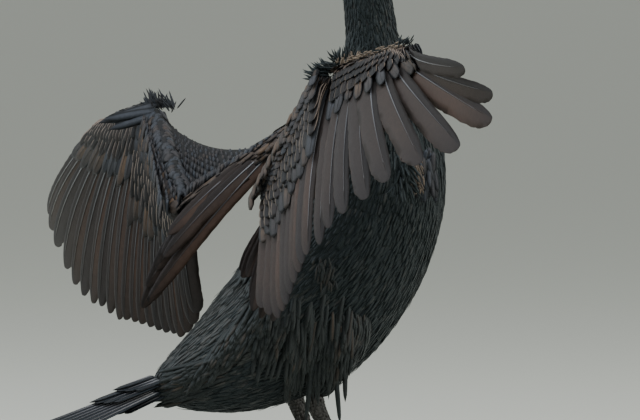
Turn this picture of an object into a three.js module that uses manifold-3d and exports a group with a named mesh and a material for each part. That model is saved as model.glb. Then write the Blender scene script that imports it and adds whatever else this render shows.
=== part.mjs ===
// Cormorant drying its wings, life size. Millimetres, Z up, X towards the breast, Y to the bird's left.
import * as THREE from 'three';
import { mergeVertices } from 'three/addons/utils/BufferGeometryUtils.js';
import Module from 'manifold-3d';

const wasm = await Module();
wasm.setup();

// Driving sizes
const GAP = 0.35;
const EYE_RADIUS = 4.6;
const EYE_SPREAD = 14.2;
const BILL_LENGTH = 66;
const TOE_THICKNESS = 7;
const TAIL_FEATHERS = 14;
const PRIMARIES = 10;
const SECONDARIES = 11;
const FLIGHT_THICKNESS = 1.4;
const COVERT_THICKNESS = 1.2;
const VANE_TILT = 0.2;
const EDGE_SAG = 36;

// Colours read off the photo, finished from the species
const COLOURS = {
  plumage: 0x171b1d,
  wing: 0x5a5550,
  tail: 0x1d2226,
  bare_skin: 0xc79a3c,
  bill: 0x6f6a60,
  eye: 0x1c7c6c,
  leg: 0x33302d,
  claw: 0x1b1917,
};

const vec = (x, y, z) => new THREE.Vector3(x, y, z);
const mix = (a, b, t) => a + (b - a) * t;
const mirrored = (point, side) => vec(point.x, point.y * side, point.z);

// A small seeded random, so that every build is alike
let seed = 7;
function random() {
  seed = (seed * 16807) % 2147483647;
  return seed / 2147483647;
}
const jitter = (size) => (random() - 0.5) * 2 * size;

// Closed mesh from plain triangles, turned so that it faces out
function closed(geometry) {
  geometry.deleteAttribute('normal');
  geometry.deleteAttribute('uv');
  const merged = mergeVertices(geometry, 1e-4);
  const p = merged.attributes.position;
  const index = Array.from(merged.index.array);
  const kept = [];
  let volume = 0;
  const a = vec(0, 0, 0);
  const b = vec(0, 0, 0);
  const c = vec(0, 0, 0);
  for (let i = 0; i < index.length; i += 3) {
    const [u, v, w] = index.slice(i, i + 3);
    if (u === v || v === w || w === u) continue;
    kept.push(u, v, w);
    a.fromBufferAttribute(p, u);
    b.fromBufferAttribute(p, v);
    c.fromBufferAttribute(p, w);
    volume += a.dot(b.cross(c)) / 6;
  }
  if (volume < 0) {
    for (let i = 0; i < kept.length; i += 3) {
      [kept[i], kept[i + 1]] = [kept[i + 1], kept[i]];
    }
  }
  merged.setIndex(kept);
  return merged;
}

function toSolid(geometry) {
  const shape = closed(geometry);
  const mesh = new wasm.Mesh({
    numProp: 3,
    vertProperties: new Float32Array(shape.attributes.position.array),
    triVerts: new Uint32Array(shape.index.array),
  });
  return new wasm.Manifold(mesh);
}

function toGeometry(solid) {
  const mesh = solid.getMesh();
  const geometry = new THREE.BufferGeometry();
  geometry.setAttribute('position', new THREE.BufferAttribute(new Float32Array(mesh.vertProperties), 3));
  geometry.setIndex(Array.from(mesh.triVerts));
  return geometry;
}

// Joins pieces and keeps the largest closed surface
function fuse(pieces) {
  let solid = toSolid(pieces[0]);
  for (const piece of pieces.slice(1)) solid = solid.add(toSolid(piece));
  return largest(solid);
}

function largest(solid) {
  let best = null;
  for (const part of solid.decompose()) {
    if (!best || part.volume() > best.volume()) best = part;
  }
  return best;
}

function carve(solid, cutters) {
  let rest = solid;
  for (const cutter of cutters) rest = rest.subtract(cutter);
  return largest(rest);
}

// Where the rings of a loft lie along its spine, closer together at the rounded ends
function ringPlaces(count, startRound, endRound) {
  const places = [0, startRound * 0.12, startRound * 0.45, startRound];
  const middle = count - 6;
  for (let i = 1; i < middle; i += 1) places.push(mix(startRound, 1 - endRound, i / middle));
  places.push(1 - endRound, 1 - endRound * 0.45, 1 - endRound * 0.12, 1);
  return places;
}

const roundOff = (distance, reach) => (distance >= reach ? 1 : Math.sqrt(1 - (1 - distance / reach) ** 2));

// Smooth solid round a spine. Each station is [x, y, z, half width, height above, depth below].
function loft(stations, options = {}) {
  const sideways = options.sideways ?? vec(0, 1, 0);
  const around = options.around ?? 20;
  const along = options.along ?? 16;
  const grow = options.grow ?? 0;
  const startRound = options.startRound ?? 0.1;
  const endRound = options.endRound ?? 0.1;
  const squareness = options.squareness ?? 2;
  const spine = new THREE.CatmullRomCurve3(stations.map((s) => vec(s[0], s[1], s[2])));
  const radii = new THREE.CatmullRomCurve3(stations.map((s) => vec(s[3], s[4], s[5])));
  const places = ringPlaces(along, startRound, endRound);
  const geometry = new THREE.SphereGeometry(1, around, places.length - 1);
  const p = geometry.attributes.position;
  for (let i = 0; i < p.count; i += 1) {
    const t = Math.acos(Math.max(-1, Math.min(1, p.getY(i)))) / Math.PI;
    const ring = Math.round(t * (places.length - 1));
    const place = places[ring];
    const angle = Math.atan2(p.getZ(i), p.getX(i));
    const tangent = spine.getTangent(place);
    const side = sideways.clone().addScaledVector(tangent, -sideways.dot(tangent)).normalize();
    const up = tangent.clone().cross(side);
    const size = radii.getPoint(place);
    const cap = Math.min(roundOff(place, startRound), roundOff(1 - place, endRound));
    const lift = Math.sin(angle) > 0 ? size.y : size.z;
    const isPole = ring === 0 || ring === places.length - 1;
    const out = isPole ? 0 : 1;
    const cos = Math.sign(Math.cos(angle)) * Math.abs(Math.cos(angle)) ** (2 / squareness);
    const sin = Math.sign(Math.sin(angle)) * Math.abs(Math.sin(angle)) ** (2 / squareness);
    const centre = spine.getPoint(place);
    if (ring === 0) centre.addScaledVector(tangent, -grow);
    if (ring === places.length - 1) centre.addScaledVector(tangent, grow);
    centre.addScaledVector(side, cos * (size.x * cap + grow) * out);
    centre.addScaledVector(up, sin * (lift * cap + grow) * out);
    p.setXYZ(i, centre.x, centre.y, centre.z);
  }
  return geometry;
}

// Closed tube through rings of points whose second half runs back along the first
function ringTube(rings) {
  const count = rings[0].length;
  const points = [];
  const faces = [];
  for (const ring of rings) for (const q of ring) points.push(q.x, q.y, q.z);
  for (let r = 0; r + 1 < rings.length; r += 1) {
    for (let k = 0; k < count; k += 1) {
      const next = (k + 1) % count;
      const a = r * count + k;
      const b = r * count + next;
      const flipped = k >= count / 2;
      if (flipped) faces.push(a, b, b + count, a, b + count, a + count);
      else faces.push(a, b, a + count, b, b + count, a + count);
    }
  }
  for (let k = 0; k + 1 < count / 2; k += 1) {
    const last = (rings.length - 1) * count;
    const far = count - 1 - k;
    faces.push(k, far, far - 1, k, far - 1, k + 1);
    faces.push(last + k, last + far - 1, last + far, last + k, last + k + 1, last + far - 1);
  }
  const geometry = new THREE.BufferGeometry();
  geometry.setAttribute('position', new THREE.Float32BufferAttribute(points, 3));
  geometry.setIndex(faces);
  return geometry;
}

// How far out each vane reaches at a place along the feather, from calamus to rounded tip
function vaneWidth(place, bluntness) {
  const base = Math.min(1, 0.3 + place * 4);
  const tip = place < bluntness ? 1 : Math.sqrt(Math.max(0, 1 - ((place - bluntness) / (1 - bluntness)) ** 2));
  return base * Math.max(0.1, tip);
}

const LONG_PLACES = [0, 0.2, 0.6, 0.9, 1];
const SHORT_PLACES = [0, 0.4, 0.84, 1];
const STIFF_PLACES = [0, 0.12, 0.9, 1];

// One feather: a thin curved vane, thickest along its shaft, or flat for a covert. lead points to its
// outer edge, dorsal to its upper face, and tilt lifts the outer edge so that neighbours lie like
// tiles. A covert follows the arch of the flight feather under it for a share of its reach.
function feather(form) {
  const grow = form.grow ?? 0;
  const direction = form.tip.clone().sub(form.root);
  const length = direction.length() + grow;
  direction.normalize();
  const lead = form.lead.clone().addScaledVector(direction, -form.lead.dot(direction)).normalize();
  let normal = lead.clone().cross(direction);
  if (normal.dot(form.dorsal) < 0) normal = normal.negate();
  const across = lead.clone().multiplyScalar(Math.cos(form.tilt));
  across.addScaledVector(normal, Math.sin(form.tilt));
  const face = normal.clone().multiplyScalar(Math.cos(form.tilt));
  face.addScaledVector(lead, -Math.sin(form.tilt));
  const rings = form.places.map((place) => {
    const along = place * (form.reach ?? 1);
    const arch = 4 * along * (1 - along) * length;
    const centre = form.root.clone().addScaledVector(direction, length * along);
    centre.addScaledVector(normal, arch * form.bow + form.raise * Math.min(1, 0.3 + place * 2));
    const spread = vaneWidth(place, form.bluntness ?? 0.8);
    const half = form.thickness * mix(0.5, 0.24, place) + grow;
    const edge = form.thickness * mix(0.24, 0.14, place) + grow;
    const outer = centre.clone().addScaledVector(across, form.outer * spread + grow);
    const inner = centre.clone().addScaledVector(across, -form.inner * spread - grow);
    if (form.flat) {
      return [
        outer.clone().addScaledVector(face, edge * 1.5),
        inner.clone().addScaledVector(face, edge * 1.5),
        inner.clone().addScaledVector(face, -edge * 1.5),
        outer.clone().addScaledVector(face, -edge * 1.5),
      ];
    }
    return [
      outer.clone().addScaledVector(face, edge),
      centre.clone().addScaledVector(face, half),
      inner.clone().addScaledVector(face, edge),
      inner.clone().addScaledVector(face, -edge),
      centre.clone().addScaledVector(face, -half),
      outer.clone().addScaledVector(face, -edge),
    ];
  });
  return ringTube(rings);
}

// Torso, from the vent up to the base of the neck
const TORSO = [
  [-150, 0, 76, 16, 8, 10],
  [-118, 0, 88, 36, 24, 38],
  [-70, 0, 112, 52, 42, 64],
  [-20, 0, 148, 62, 56, 84],
  [24, 0, 192, 66, 62, 82],
  [52, 0, 240, 64, 64, 73],
  [64, 0, 284, 56, 54, 60],
  [64, 0, 322, 44, 40, 44],
  [60, 0, 352, 31, 28, 31],
  [57, 0, 376, 24, 22, 25],
];
const torsoLoft = (grow) => loft(TORSO, { around: 22, along: 18, startRound: 0.06, endRound: 0.05, grow });

// Neck in an easy S, and the head turned level above it
const NECK = [
  [58, 0, 352, 24, 22, 25],
  [56, 0, 384, 23, 22, 24],
  [52, 0, 416, 22, 21, 23],
  [50, 0, 448, 21, 20, 22],
  [52, 0, 480, 20, 19, 21],
  [60, 0, 508, 19, 18, 20],
  [72, 0, 530, 18, 17, 19],
  [88, 0, 543, 16, 15, 16],
];
const NECK_SPLIT = 446;
const HEAD = [
  [62, 0, 533, 15, 13, 15],
  [76, 0, 541, 18, 17, 18],
  [92, 0, 548, 19, 19, 18],
  [108, 0, 550, 17.5, 16.5, 16],
  [122, 0, 549, 13.5, 11.5, 14],
  [134, 0, 547, 9.5, 7.5, 11],
];
const headLoft = (grow) => loft(HEAD, { around: 16, along: 12, startRound: 0.2, endRound: 0.12, grow });

const EYE_PLACE = vec(108, EYE_SPREAD, 554);
const BILL_START = 128;
const MOUTH_HEIGHT = 544.5;

function sphere(centre, radius, around = 14, rings = 8) {
  const geometry = new THREE.SphereGeometry(radius, around, rings);
  geometry.translate(centre.x, centre.y, centre.z);
  return geometry;
}

function box(centre, size) {
  const geometry = new THREE.BoxGeometry(size.x, size.y, size.z);
  geometry.translate(centre.x, centre.y, centre.z);
  return geometry;
}

// Eyelids: a low roll of bare skin above and below each eye
function lidLoft(side, upper) {
  const stations = [];
  for (let k = 0; k <= 6; k += 1) {
    const angle = mix(-0.08, 1.08, k / 6) * Math.PI * (upper ? 1 : -1);
    const reach = EYE_RADIUS + 0.3;
    const x = EYE_PLACE.x + Math.cos(angle) * reach;
    const z = EYE_PLACE.z + Math.sin(angle) * reach * 0.86;
    stations.push([x, side * (EYE_SPREAD + 1.6), z, 1.5, 1.1, 1.1]);
  }
  return loft(stations, { around: 6, along: 9, startRound: 0.08, endRound: 0.08 });
}

function head() {
  const pieces = [headLoft(0)];
  for (const side of [1, -1]) for (const upper of [true, false]) pieces.push(lidLoft(side, upper));
  const sockets = [1, -1].map((side) => toSolid(sphere(mirrored(EYE_PLACE, side), EYE_RADIUS + GAP)));
  const lips = toSolid(box(vec(150, 0, MOUTH_HEIGHT), vec(70, 60, 0.9)));
  return carve(fuse(pieces), [...sockets, lips]);
}

// Bill: a straight ridge that hooks over the lower half at its tip
const UPPER_BILL = [
  [BILL_START - 4, 0, 547.5, 9, 6.5, 4],
  [BILL_START + 12, 0, 547, 6.6, 4.6, 3.4],
  [BILL_START + 32, 0, 546.4, 4.8, 3.2, 2.6],
  [BILL_START + 50, 0, 546, 4.0, 2.8, 2.2],
  [BILL_START + BILL_LENGTH - 6, 0, 545, 3.6, 3.0, 2.6],
  [BILL_START + BILL_LENGTH + 1, 0, 540.5, 2.2, 2.2, 2.2],
  [BILL_START + BILL_LENGTH, 0, 536.5, 0.9, 0.9, 0.9],
];
const LOWER_BILL = [
  [BILL_START - 4, 0, 541, 8.4, 3, 5.5],
  [BILL_START + 14, 0, 541, 6.0, 2.6, 4.0],
  [BILL_START + 34, 0, 541.6, 4.4, 2.2, 2.6],
  [BILL_START + 52, 0, 541.6, 3.4, 2.0, 2.2],
  [BILL_START + BILL_LENGTH - 6, 0, 541.4, 2.4, 1.4, 1.6],
];
const THROAT = [
  [104, 0, 533, 9, 5, 5],
  [118, 0, 532, 10, 6, 5],
  [132, 0, 534.5, 7.5, 5, 3.6],
  [148, 0, 537, 4.6, 3.4, 2.4],
];

function upperBill(headCutter) {
  const shape = toSolid(loft(UPPER_BILL, { around: 10, along: 11, startRound: 0.04, endRound: 0.05 }));
  const under = toSolid(box(vec(150, 0, MOUTH_HEIGHT - 12), vec(56, 60, 24)));
  const nostrils = [1, -1].map((side) => {
    const slot = loft(
      [[BILL_START + 9, side * 6.6, 548.6, 1, 0.5, 0.5], [BILL_START + 16, side * 5.6, 548.2, 1, 0.5, 0.5]],
      { around: 8, along: 8, startRound: 0.2, endRound: 0.2 },
    );
    return toSolid(slot);
  });
  return carve(shape, [headCutter, under, ...nostrils]);
}

function lowerBill(headCutter, upperCutter) {
  const shape = toSolid(loft(LOWER_BILL, { around: 10, along: 9, startRound: 0.04, endRound: 0.08 }));
  const above = toSolid(box(vec(150, 0, MOUTH_HEIGHT - GAP + 12), vec(120, 60, 24)));
  return carve(shape, [headCutter, above, upperCutter]);
}

// Legs: short thighs in the feathers, bare shanks, and webbed feet flat on the floor
const LEGS = [
  { side: 1, name: 'left', knee: [6, 44, 126], ankle: [2, 40, 64], foot: [22, 40] },
  { side: -1, name: 'right', knee: [6, -44, 124], ankle: [-14, -38, 62], foot: [8, -38] },
];
const TOES = [
  { turn: -0.42, length: 88 },
  { turn: 0.0, length: 78 },
  { turn: 0.4, length: 62 },
  { turn: 2.2, length: 38 },
];

function thigh(leg, torsoCutter) {
  const [x, y, z] = leg.knee;
  const stations = [
    [x - 6, y * 0.75, z + 30, 20, 34, 34],
    [x, y, z, 20, 32, 32],
    [mix(x, leg.ankle[0], 0.5), mix(y, leg.ankle[1], 0.5), mix(z, leg.ankle[2], 0.5), 15, 22, 22],
    [leg.ankle[0], leg.ankle[1], leg.ankle[2] + 6, 9, 11, 11],
  ];
  return carve(toSolid(loft(stations, { around: 14, along: 11, startRound: 0.2, endRound: 0.08 })), [torsoCutter]);
}

function shankStations(leg) {
  const [ax, ay, az] = leg.ankle;
  return [
    [ax + 1, ay, az + 8, 6.6, 7.5, 7.5],
    [ax, ay, az - 2, 6.4, 8, 7.5],
    [mix(ax, leg.foot[0], 0.4), ay, mix(az, 12, 0.4), 4.6, 6.4, 6.4],
    [mix(ax, leg.foot[0], 0.8), leg.foot[1], mix(az, 12, 0.8), 4.8, 6.2, 6.4],
    [leg.foot[0], leg.foot[1], 9, 6, 7, 7],
  ];
}

function toeStations(leg, toe) {
  const heading = -leg.side * toe.turn;
  const [fx, fy] = leg.foot;
  return [0, 0.2, 0.5, 0.8, 1].map((place) => {
    const reach = toe.length * place;
    const knuckle = 1 + 0.12 * Math.cos(place * Math.PI * 6);
    const half = mix(5.4, 3.2, place) * knuckle;
    const x = fx + Math.cos(heading) * reach;
    const y = fy + Math.sin(heading) * reach * 1;
    return [x, y, TOE_THICKNESS * mix(0.62, 0.42, place), half, TOE_THICKNESS * mix(0.6, 0.42, place), 5];
  });
}

// The web is a thin sheet between two toes with a hollowed front edge
function web(leg, first, second) {
  const outline = new THREE.Shape();
  const [fx, fy] = leg.foot;
  const at = (toe, place, hollow = 0) => {
    const heading = -leg.side * toe.turn;
    const reach = toe.length * place - hollow;
    return [fx + Math.cos(heading) * reach, fy + Math.sin(heading) * reach];
  };
  const middle = {
    turn: (first.turn + second.turn) / 2,
    length: Math.min(first.length, second.length) * Math.cos((second.turn - first.turn) / 2),
  };
  outline.moveTo(fx, fy);
  outline.lineTo(...at(first, 0.95));
  outline.quadraticCurveTo(...at(middle, 0.86), ...at(second, 0.95));
  outline.closePath();
  return new THREE.ExtrudeGeometry(outline, { depth: 2.4, bevelEnabled: false, curveSegments: 5 });
}

function foot(leg) {
  const pieces = TOES.map((toe) => loft(toeStations(leg, toe), { around: 6, along: 8, startRound: 0.1 }));
  pieces.push(web(leg, TOES[0], TOES[1]), web(leg, TOES[1], TOES[2]), web(leg, TOES[2], TOES[3]));
  const [fx, fy] = leg.foot;
  pieces.push(loft([[fx - 4, fy, 5, 8, 6, 5], [fx + 6, fy, 5, 8, 5, 5]], { around: 12, along: 8, endRound: 0.3, startRound: 0.3 }));
  const below = toSolid(box(vec(fx + 20, fy, -10), vec(400, 400, 20)));
  return carve(fuse(pieces), [below]);
}

// Claws start just past the toe's end and curve down to a point
const CLAW_SHAPE = [
  { past: GAP, height: 3.3, radius: 2.2 },
  { past: 4, height: 3.5, radius: 2.0 },
  { past: 8, height: 2.8, radius: 1.3 },
  { past: 11, height: 1.0, radius: 0.5 },
];

function claw(leg, toe) {
  const heading = -leg.side * toe.turn;
  const [fx, fy] = leg.foot;
  const stations = CLAW_SHAPE.map(({ past, height, radius }) => {
    const reach = toe.length + past;
    return [fx + Math.cos(heading) * reach, fy + Math.sin(heading) * reach, height, radius, radius, radius];
  });
  return toSolid(loft(stations, { around: 6, along: 8, startRound: 0.12, endRound: 0.12 }));
}

// Wings. Bones run shoulder, elbow, wrist, hand tip. The tips curves run from the outermost flight
// feather in to the innermost, and the left wing hangs lower than the right one.
const WINGS = {
  right: {
    side: -1,
    shoulder: vec(40, -46, 316),
    elbow: vec(-84, -100, 238),
    wrist: vec(-78, -210, 348),
    hand: vec(-61, -331, 374),
    dorsal: vec(-0.91, 0.1, 0.4),
    primaryTips: [vec(-124, -560, 364), vec(-98, -578, 332), vec(-114, -528, 299), vec(-140, -476, 277),
      vec(-148, -424, 252), vec(-153, -378, 234), vec(-148, -334, 212)],
    secondaryTips: [vec(-147, -308, 203), vec(-143, -280, 184), vec(-136, -246, 164), vec(-128, -212, 146),
      vec(-126, -172, 152)],
    tertials: [
      { at: 0.9, tip: vec(-92, -112, 134), outer: 7, inner: 10 },
      { at: 0.82, tip: vec(-100, -102, 150), outer: 7, inner: 10 },
      { at: 0.72, tip: vec(-104, -90, 172), outer: 7, inner: 9 },
      { at: 0.55, tip: vec(-98, -76, 180), outer: 6, inner: 8 },
      { at: 0.36, tip: vec(-92, -72, 164), outer: 7, inner: 9 },
    ],
  },
  left: {
    side: 1,
    shoulder: vec(40, 46, 314),
    elbow: vec(-75, 100, 230),
    wrist: vec(-53, 220, 312),
    hand: vec(-43, 344, 297),
    dorsal: vec(-0.93, 0.1, 0.25),
    primaryTips: [vec(-4, 569, 207), vec(-6, 556, 186), vec(-14, 506, 160), vec(-26, 450, 142),
      vec(-36, 394, 132), vec(-46, 342, 127), vec(-56, 290, 123)],
    secondaryTips: [vec(-61, 264, 121), vec(-57, 228, 119), vec(-55, 188, 115), vec(-55, 150, 113),
      vec(-56, 122, 134)],
    tertials: [
      { at: 0.92, tip: vec(-112, 112, 138), outer: 7, inner: 10 },
      { at: 0.8, tip: vec(-108, 100, 160), outer: 7, inner: 9 },
      { at: 0.62, tip: vec(-104, 92, 184), outer: 7, inner: 10 },
      { at: 0.46, tip: vec(-96, 84, 200), outer: 7, inner: 9 },
      { at: 0.32, tip: vec(-108, 92, 156), outer: 8, inner: 11 },
    ],
  },
};

const curveAt = (points, place) => new THREE.CatmullRomCurve3(points).getPoint(place);
const bounded = (place) => Math.max(0, Math.min(1, place));

// Outward direction along a row of tips
function leadAt(tips, place) {
  return curveAt(tips, bounded(place - 0.05)).sub(curveAt(tips, bounded(place + 0.05))).normalize();
}

// Rounded limb between two joints. Each radius pair is [across the wing's thickness, along its width].
function limb(from, to, radii, wing, lift, grow = 0) {
  const stations = radii.map(([thickness, width], k) => {
    const place = k / (radii.length - 1);
    const q = from.clone().lerp(to, place);
    q.addScaledVector(wing.dorsal, lift * 4 * place * (1 - place));
    return [q.x, q.y, q.z, thickness, width, width];
  });
  return loft(stations, { sideways: wing.dorsal, around: 10, along: 9, startRound: 0.12, endRound: 0.12, grow });
}

// The fold of skin in front of the elbow sags a little between wrist and shoulder
function leadingEdge(wing, place) {
  const sag = EDGE_SAG * 4 * place * (1 - place);
  return wing.wrist.clone().lerp(wing.shoulder, place).add(vec(-sag * 0.25, 0, -sag));
}

// Closed sheet of skin and small feathers between two edges
function skinFold(near, far, wing, thickness, grow = 0) {
  const rings = [0, 0.5, 1].map((place) => {
    const top = [];
    const bottom = [];
    near.forEach((root, k) => {
      const q = root.clone().lerp(far[k], place);
      const half = thickness * mix(0.5, 0.3, place) + grow;
      top.push(q.clone().addScaledVector(wing.dorsal, half));
      bottom.push(q.clone().addScaledVector(wing.dorsal, -half));
    });
    return [...top, ...bottom.reverse()];
  });
  return ringTube(rings);
}

// A tier of feathers whose roots lie along a limb and whose tips follow the flight feathers
function tier(wing, from, to, tips, form) {
  const pieces = [];
  for (let k = 0; k < form.count; k += 1) {
    const place = form.count === 1 ? 0 : k / (form.count - 1);
    pieces.push(feather({
      root: from.clone().lerp(to, place),
      tip: curveAt(tips, place),
      reach: form.reach * (form.reach < 1 ? 1 + jitter(0.03) : 1),
      flat: form.reach < 1,
      lead: leadAt(tips, place),
      dorsal: wing.dorsal,
      tilt: VANE_TILT,
      places: form.places,
      thickness: form.thickness,
      outer: form.outer(place),
      inner: form.inner(place),
      bow: form.bow,
      raise: form.raise,
      bluntness: form.bluntness,
      grow: form.grow ?? 0,
    }));
  }
  return pieces;
}

function handPieces(wing, grow = 0) {
  const axis = wing.hand.clone().sub(wing.wrist).normalize();
  const start = wing.wrist.clone().addScaledVector(axis, 9);
  const end = wing.hand.clone().addScaledVector(axis, -4);
  const pieces = [limb(start, wing.hand, [[8, 10], [8, 9], [7, 7], [5, 5]], wing, 2, grow)];
  pieces.push(...tier(wing, end, start.clone().addScaledVector(axis, 7), wing.primaryTips, {
    count: PRIMARIES, reach: 1, places: LONG_PLACES, thickness: FLIGHT_THICKNESS,
    outer: (place) => mix(6, 8, place), inner: (place) => mix(20, 17, place), bow: 0.05, raise: 0, grow,
  }));
  pieces.push(...tier(wing, end, start.clone().addScaledVector(axis, 7), wing.primaryTips, {
    count: PRIMARIES - 1, reach: 0.38, places: SHORT_PLACES, thickness: COVERT_THICKNESS,
    outer: () => 5, inner: () => 9, bow: 0.05, raise: 3.6, grow,
  }));
  const bend = wing.wrist.clone().addScaledVector(axis, 22).addScaledVector(wing.dorsal, 3);
  for (const step of [0, 1]) {
    const lead = leadAt(wing.primaryTips, 0);
    const alulaTip = wing.hand.clone().lerp(wing.primaryTips[0], 0.02 + step * 0.03);
    pieces.push(feather({
      root: bend.clone().addScaledVector(axis, step * 4),
      tip: bend.clone().lerp(alulaTip, 0.62 - step * 0.08).addScaledVector(wing.dorsal, 6 + step * 3),
      lead, dorsal: wing.dorsal, tilt: 0.1, places: SHORT_PLACES, thickness: COVERT_THICKNESS,
      outer: 7, inner: 8, bow: 0.05, raise: 2, grow,
    }));
  }
  return pieces;
}

function forearmPieces(wing, grow = 0) {
  const axis = wing.elbow.clone().sub(wing.wrist).normalize();
  const start = wing.wrist.clone().addScaledVector(axis, 6);
  const end = wing.elbow.clone().addScaledVector(axis, -11);
  const inset = start.clone().addScaledVector(axis, 7);
  const pieces = [limb(start, end, [[9, 10], [10, 12], [11, 14], [10, 13]], wing, 5, grow)];
  pieces.push(...tier(wing, inset, end, wing.secondaryTips, {
    count: SECONDARIES, reach: 1, places: LONG_PLACES, thickness: FLIGHT_THICKNESS,
    outer: () => 5.5, inner: (place) => mix(12, 10, place), bow: 0.05, raise: 0, grow,
  }));
  pieces.push(...tier(wing, inset, end, wing.secondaryTips, {
    count: SECONDARIES - 1, reach: 0.46, places: SHORT_PLACES,
    thickness: COVERT_THICKNESS, outer: () => 5, inner: () => 8.5, bow: 0.05, raise: 4, grow,
  }));
  pieces.push(...tier(wing, inset, end, wing.secondaryTips, {
    count: SECONDARIES - 5, reach: 0.27, places: SHORT_PLACES,
    thickness: COVERT_THICKNESS, outer: () => 6, inner: () => 8.5, bow: 0.05, raise: 8.4, grow,
  }));
  const edge = (place) => leadingEdge(wing, place * 0.62);
  const bone = (place) => wing.wrist.clone().lerp(end, place);
  const places = [0.08, 0.3, 0.55, 0.8, 0.97];
  pieces.push(skinFold(places.map(bone), places.map(edge), wing, 9, grow));
  return pieces;
}

function upperArmPieces(wing) {
  const axis = wing.elbow.clone().sub(wing.shoulder).normalize();
  const end = wing.elbow.clone().addScaledVector(axis, -1);
  const pieces = [limb(wing.shoulder, end, [[14, 22], [12, 20], [10, 15], [9, 11]], wing, 0)];
  for (const tertial of wing.tertials) {
    const root = wing.shoulder.clone().lerp(end, tertial.at);
    pieces.push(feather({
      root,
      tip: tertial.tip,
      lead: axis,
      dorsal: wing.dorsal,
      tilt: 0.12,
      places: LONG_PLACES,
      thickness: FLIGHT_THICKNESS,
      outer: tertial.outer,
      inner: tertial.inner,
      bow: 0.06,
      raise: 5,
    }));
  }
  const edge = (place) => leadingEdge(wing, mix(0.66, 0.96, place));
  const bone = (place) => end.clone().lerp(wing.shoulder, mix(0.3, 0.94, place));
  const places = [0, 0.5, 1];
  pieces.push(skinFold(places.map(bone), places.map(edge), wing, 9));
  return pieces;
}

// Tail: a short fleshy root and stiff narrow feathers in a shallow fan, the middle pair on top
const TAIL_ROOT = vec(-146, 0, 78);
const TAIL_DIRECTION = vec(-0.95, 0, -0.31);
const TAIL_UP = vec(-0.31, 0, 0.95);
const TAIL_LENGTH = 152;

function tailPieces() {
  const base = TAIL_ROOT;
  const end = base.clone().addScaledVector(TAIL_DIRECTION, 34);
  const pieces = [loft([[base.x + 10, 0, base.z + 3, 15, 9, 9], [base.x - 6, 0, base.z - 2, 17, 8, 8],
    [end.x, 0, end.z, 16, 5, 5]], { around: 12, along: 9, startRound: 0.15, endRound: 0.2 })];
  const rows = [
    { count: TAIL_FEATHERS, length: TAIL_LENGTH, rise: 0, spread: 46, places: STIFF_PLACES, half: 7 },
    { count: 5, length: 62, rise: 9, spread: 16, places: SHORT_PLACES, half: 7 },
    { count: 5, length: 56, rise: -5, spread: 16, places: SHORT_PLACES, half: 7 },
  ];
  for (const row of rows) {
    for (let k = 0; k < row.count; k += 1) {
      const place = k / (row.count - 1) * 2 - 1;
      const stack = (1 - Math.abs(place)) * (row.count - 1) * 0.75 + row.rise - 4;
      const root = base.clone().add(vec(-2, place * 13, 0)).addScaledVector(TAIL_UP, stack * 0.8);
      const reach = row.length * (1 - 0.25 * place * place) * (1 + jitter(0.015));
      const tip = base.clone().addScaledVector(TAIL_DIRECTION, reach).add(vec(0, place * row.spread, 0));
      tip.addScaledVector(TAIL_UP, stack);
      pieces.push(feather({
        root, tip, lead: vec(0, Math.sign(place) || 1, 0), dorsal: TAIL_UP, tilt: -0.03,
        places: row.places, thickness: COVERT_THICKNESS, outer: row.half * 0.75, inner: row.half,
        bow: 0, raise: 0, flat: true,
      }));
    }
  }
  return pieces;
}

// Finished meshes, each with its own material
const bird = new THREE.Group();
bird.name = 'cormorant';
const FINISH = {
  plumage: { roughness: 0.6, metalness: 0 },
  wing: { roughness: 0.65, metalness: 0 },
  tail: { roughness: 0.6, metalness: 0 },
  bare_skin: { roughness: 0.5, metalness: 0 },
  bill: { roughness: 0.4, metalness: 0 },
  eye: { roughness: 0.08, metalness: 0 },
  leg: { roughness: 0.55, metalness: 0 },
  claw: { roughness: 0.4, metalness: 0 },
};

function addNode(name, finish, solid) {
  const material = new THREE.MeshStandardMaterial({ color: COLOURS[finish], ...FINISH[finish] });
  const mesh = new THREE.Mesh(toGeometry(solid), material);
  mesh.name = name;
  bird.add(mesh);
}

const torsoCutter = toSolid(torsoLoft(GAP));
const headCutter = toSolid(headLoft(GAP));
addNode('torso', 'plumage', toSolid(torsoLoft(0)));

const neck = toSolid(loft(NECK, { around: 16, along: 13, startRound: 0.06, endRound: 0.06 }));
const below = toSolid(box(vec(60, 0, NECK_SPLIT - 200), vec(300, 300, 400)));
const above = toSolid(box(vec(60, 0, NECK_SPLIT + GAP + 200), vec(300, 300, 400)));
addNode('neck_lower', 'plumage', carve(neck.intersect(below), [torsoCutter]));
addNode('neck_upper', 'plumage', carve(neck.intersect(above), [headCutter]));
addNode('head', 'plumage', head());

const upper = upperBill(headCutter);
const upperCutter = toSolid(loft(UPPER_BILL, { around: 10, along: 11, startRound: 0.04, endRound: 0.05, grow: GAP }));
const lowerCutter = toSolid(loft(LOWER_BILL, { around: 10, along: 9, startRound: 0.04, endRound: 0.08, grow: GAP }));
addNode('upper_bill', 'bill', upper);
addNode('lower_bill', 'bill', lowerBill(headCutter, upperCutter));
const throat = toSolid(loft(THROAT, { around: 12, along: 9, startRound: 0.2, endRound: 0.12 }));
const neckCutter = toSolid(loft(NECK, { around: 16, along: 13, startRound: 0.06, endRound: 0.06, grow: GAP }));
addNode('throat_pouch', 'bare_skin', carve(throat, [headCutter, lowerCutter, upperCutter, neckCutter]));
for (const [name, side] of [['left', 1], ['right', -1]]) {
  addNode(`eye_${name}`, 'eye', toSolid(sphere(mirrored(EYE_PLACE, side), EYE_RADIUS)));
}

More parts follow.
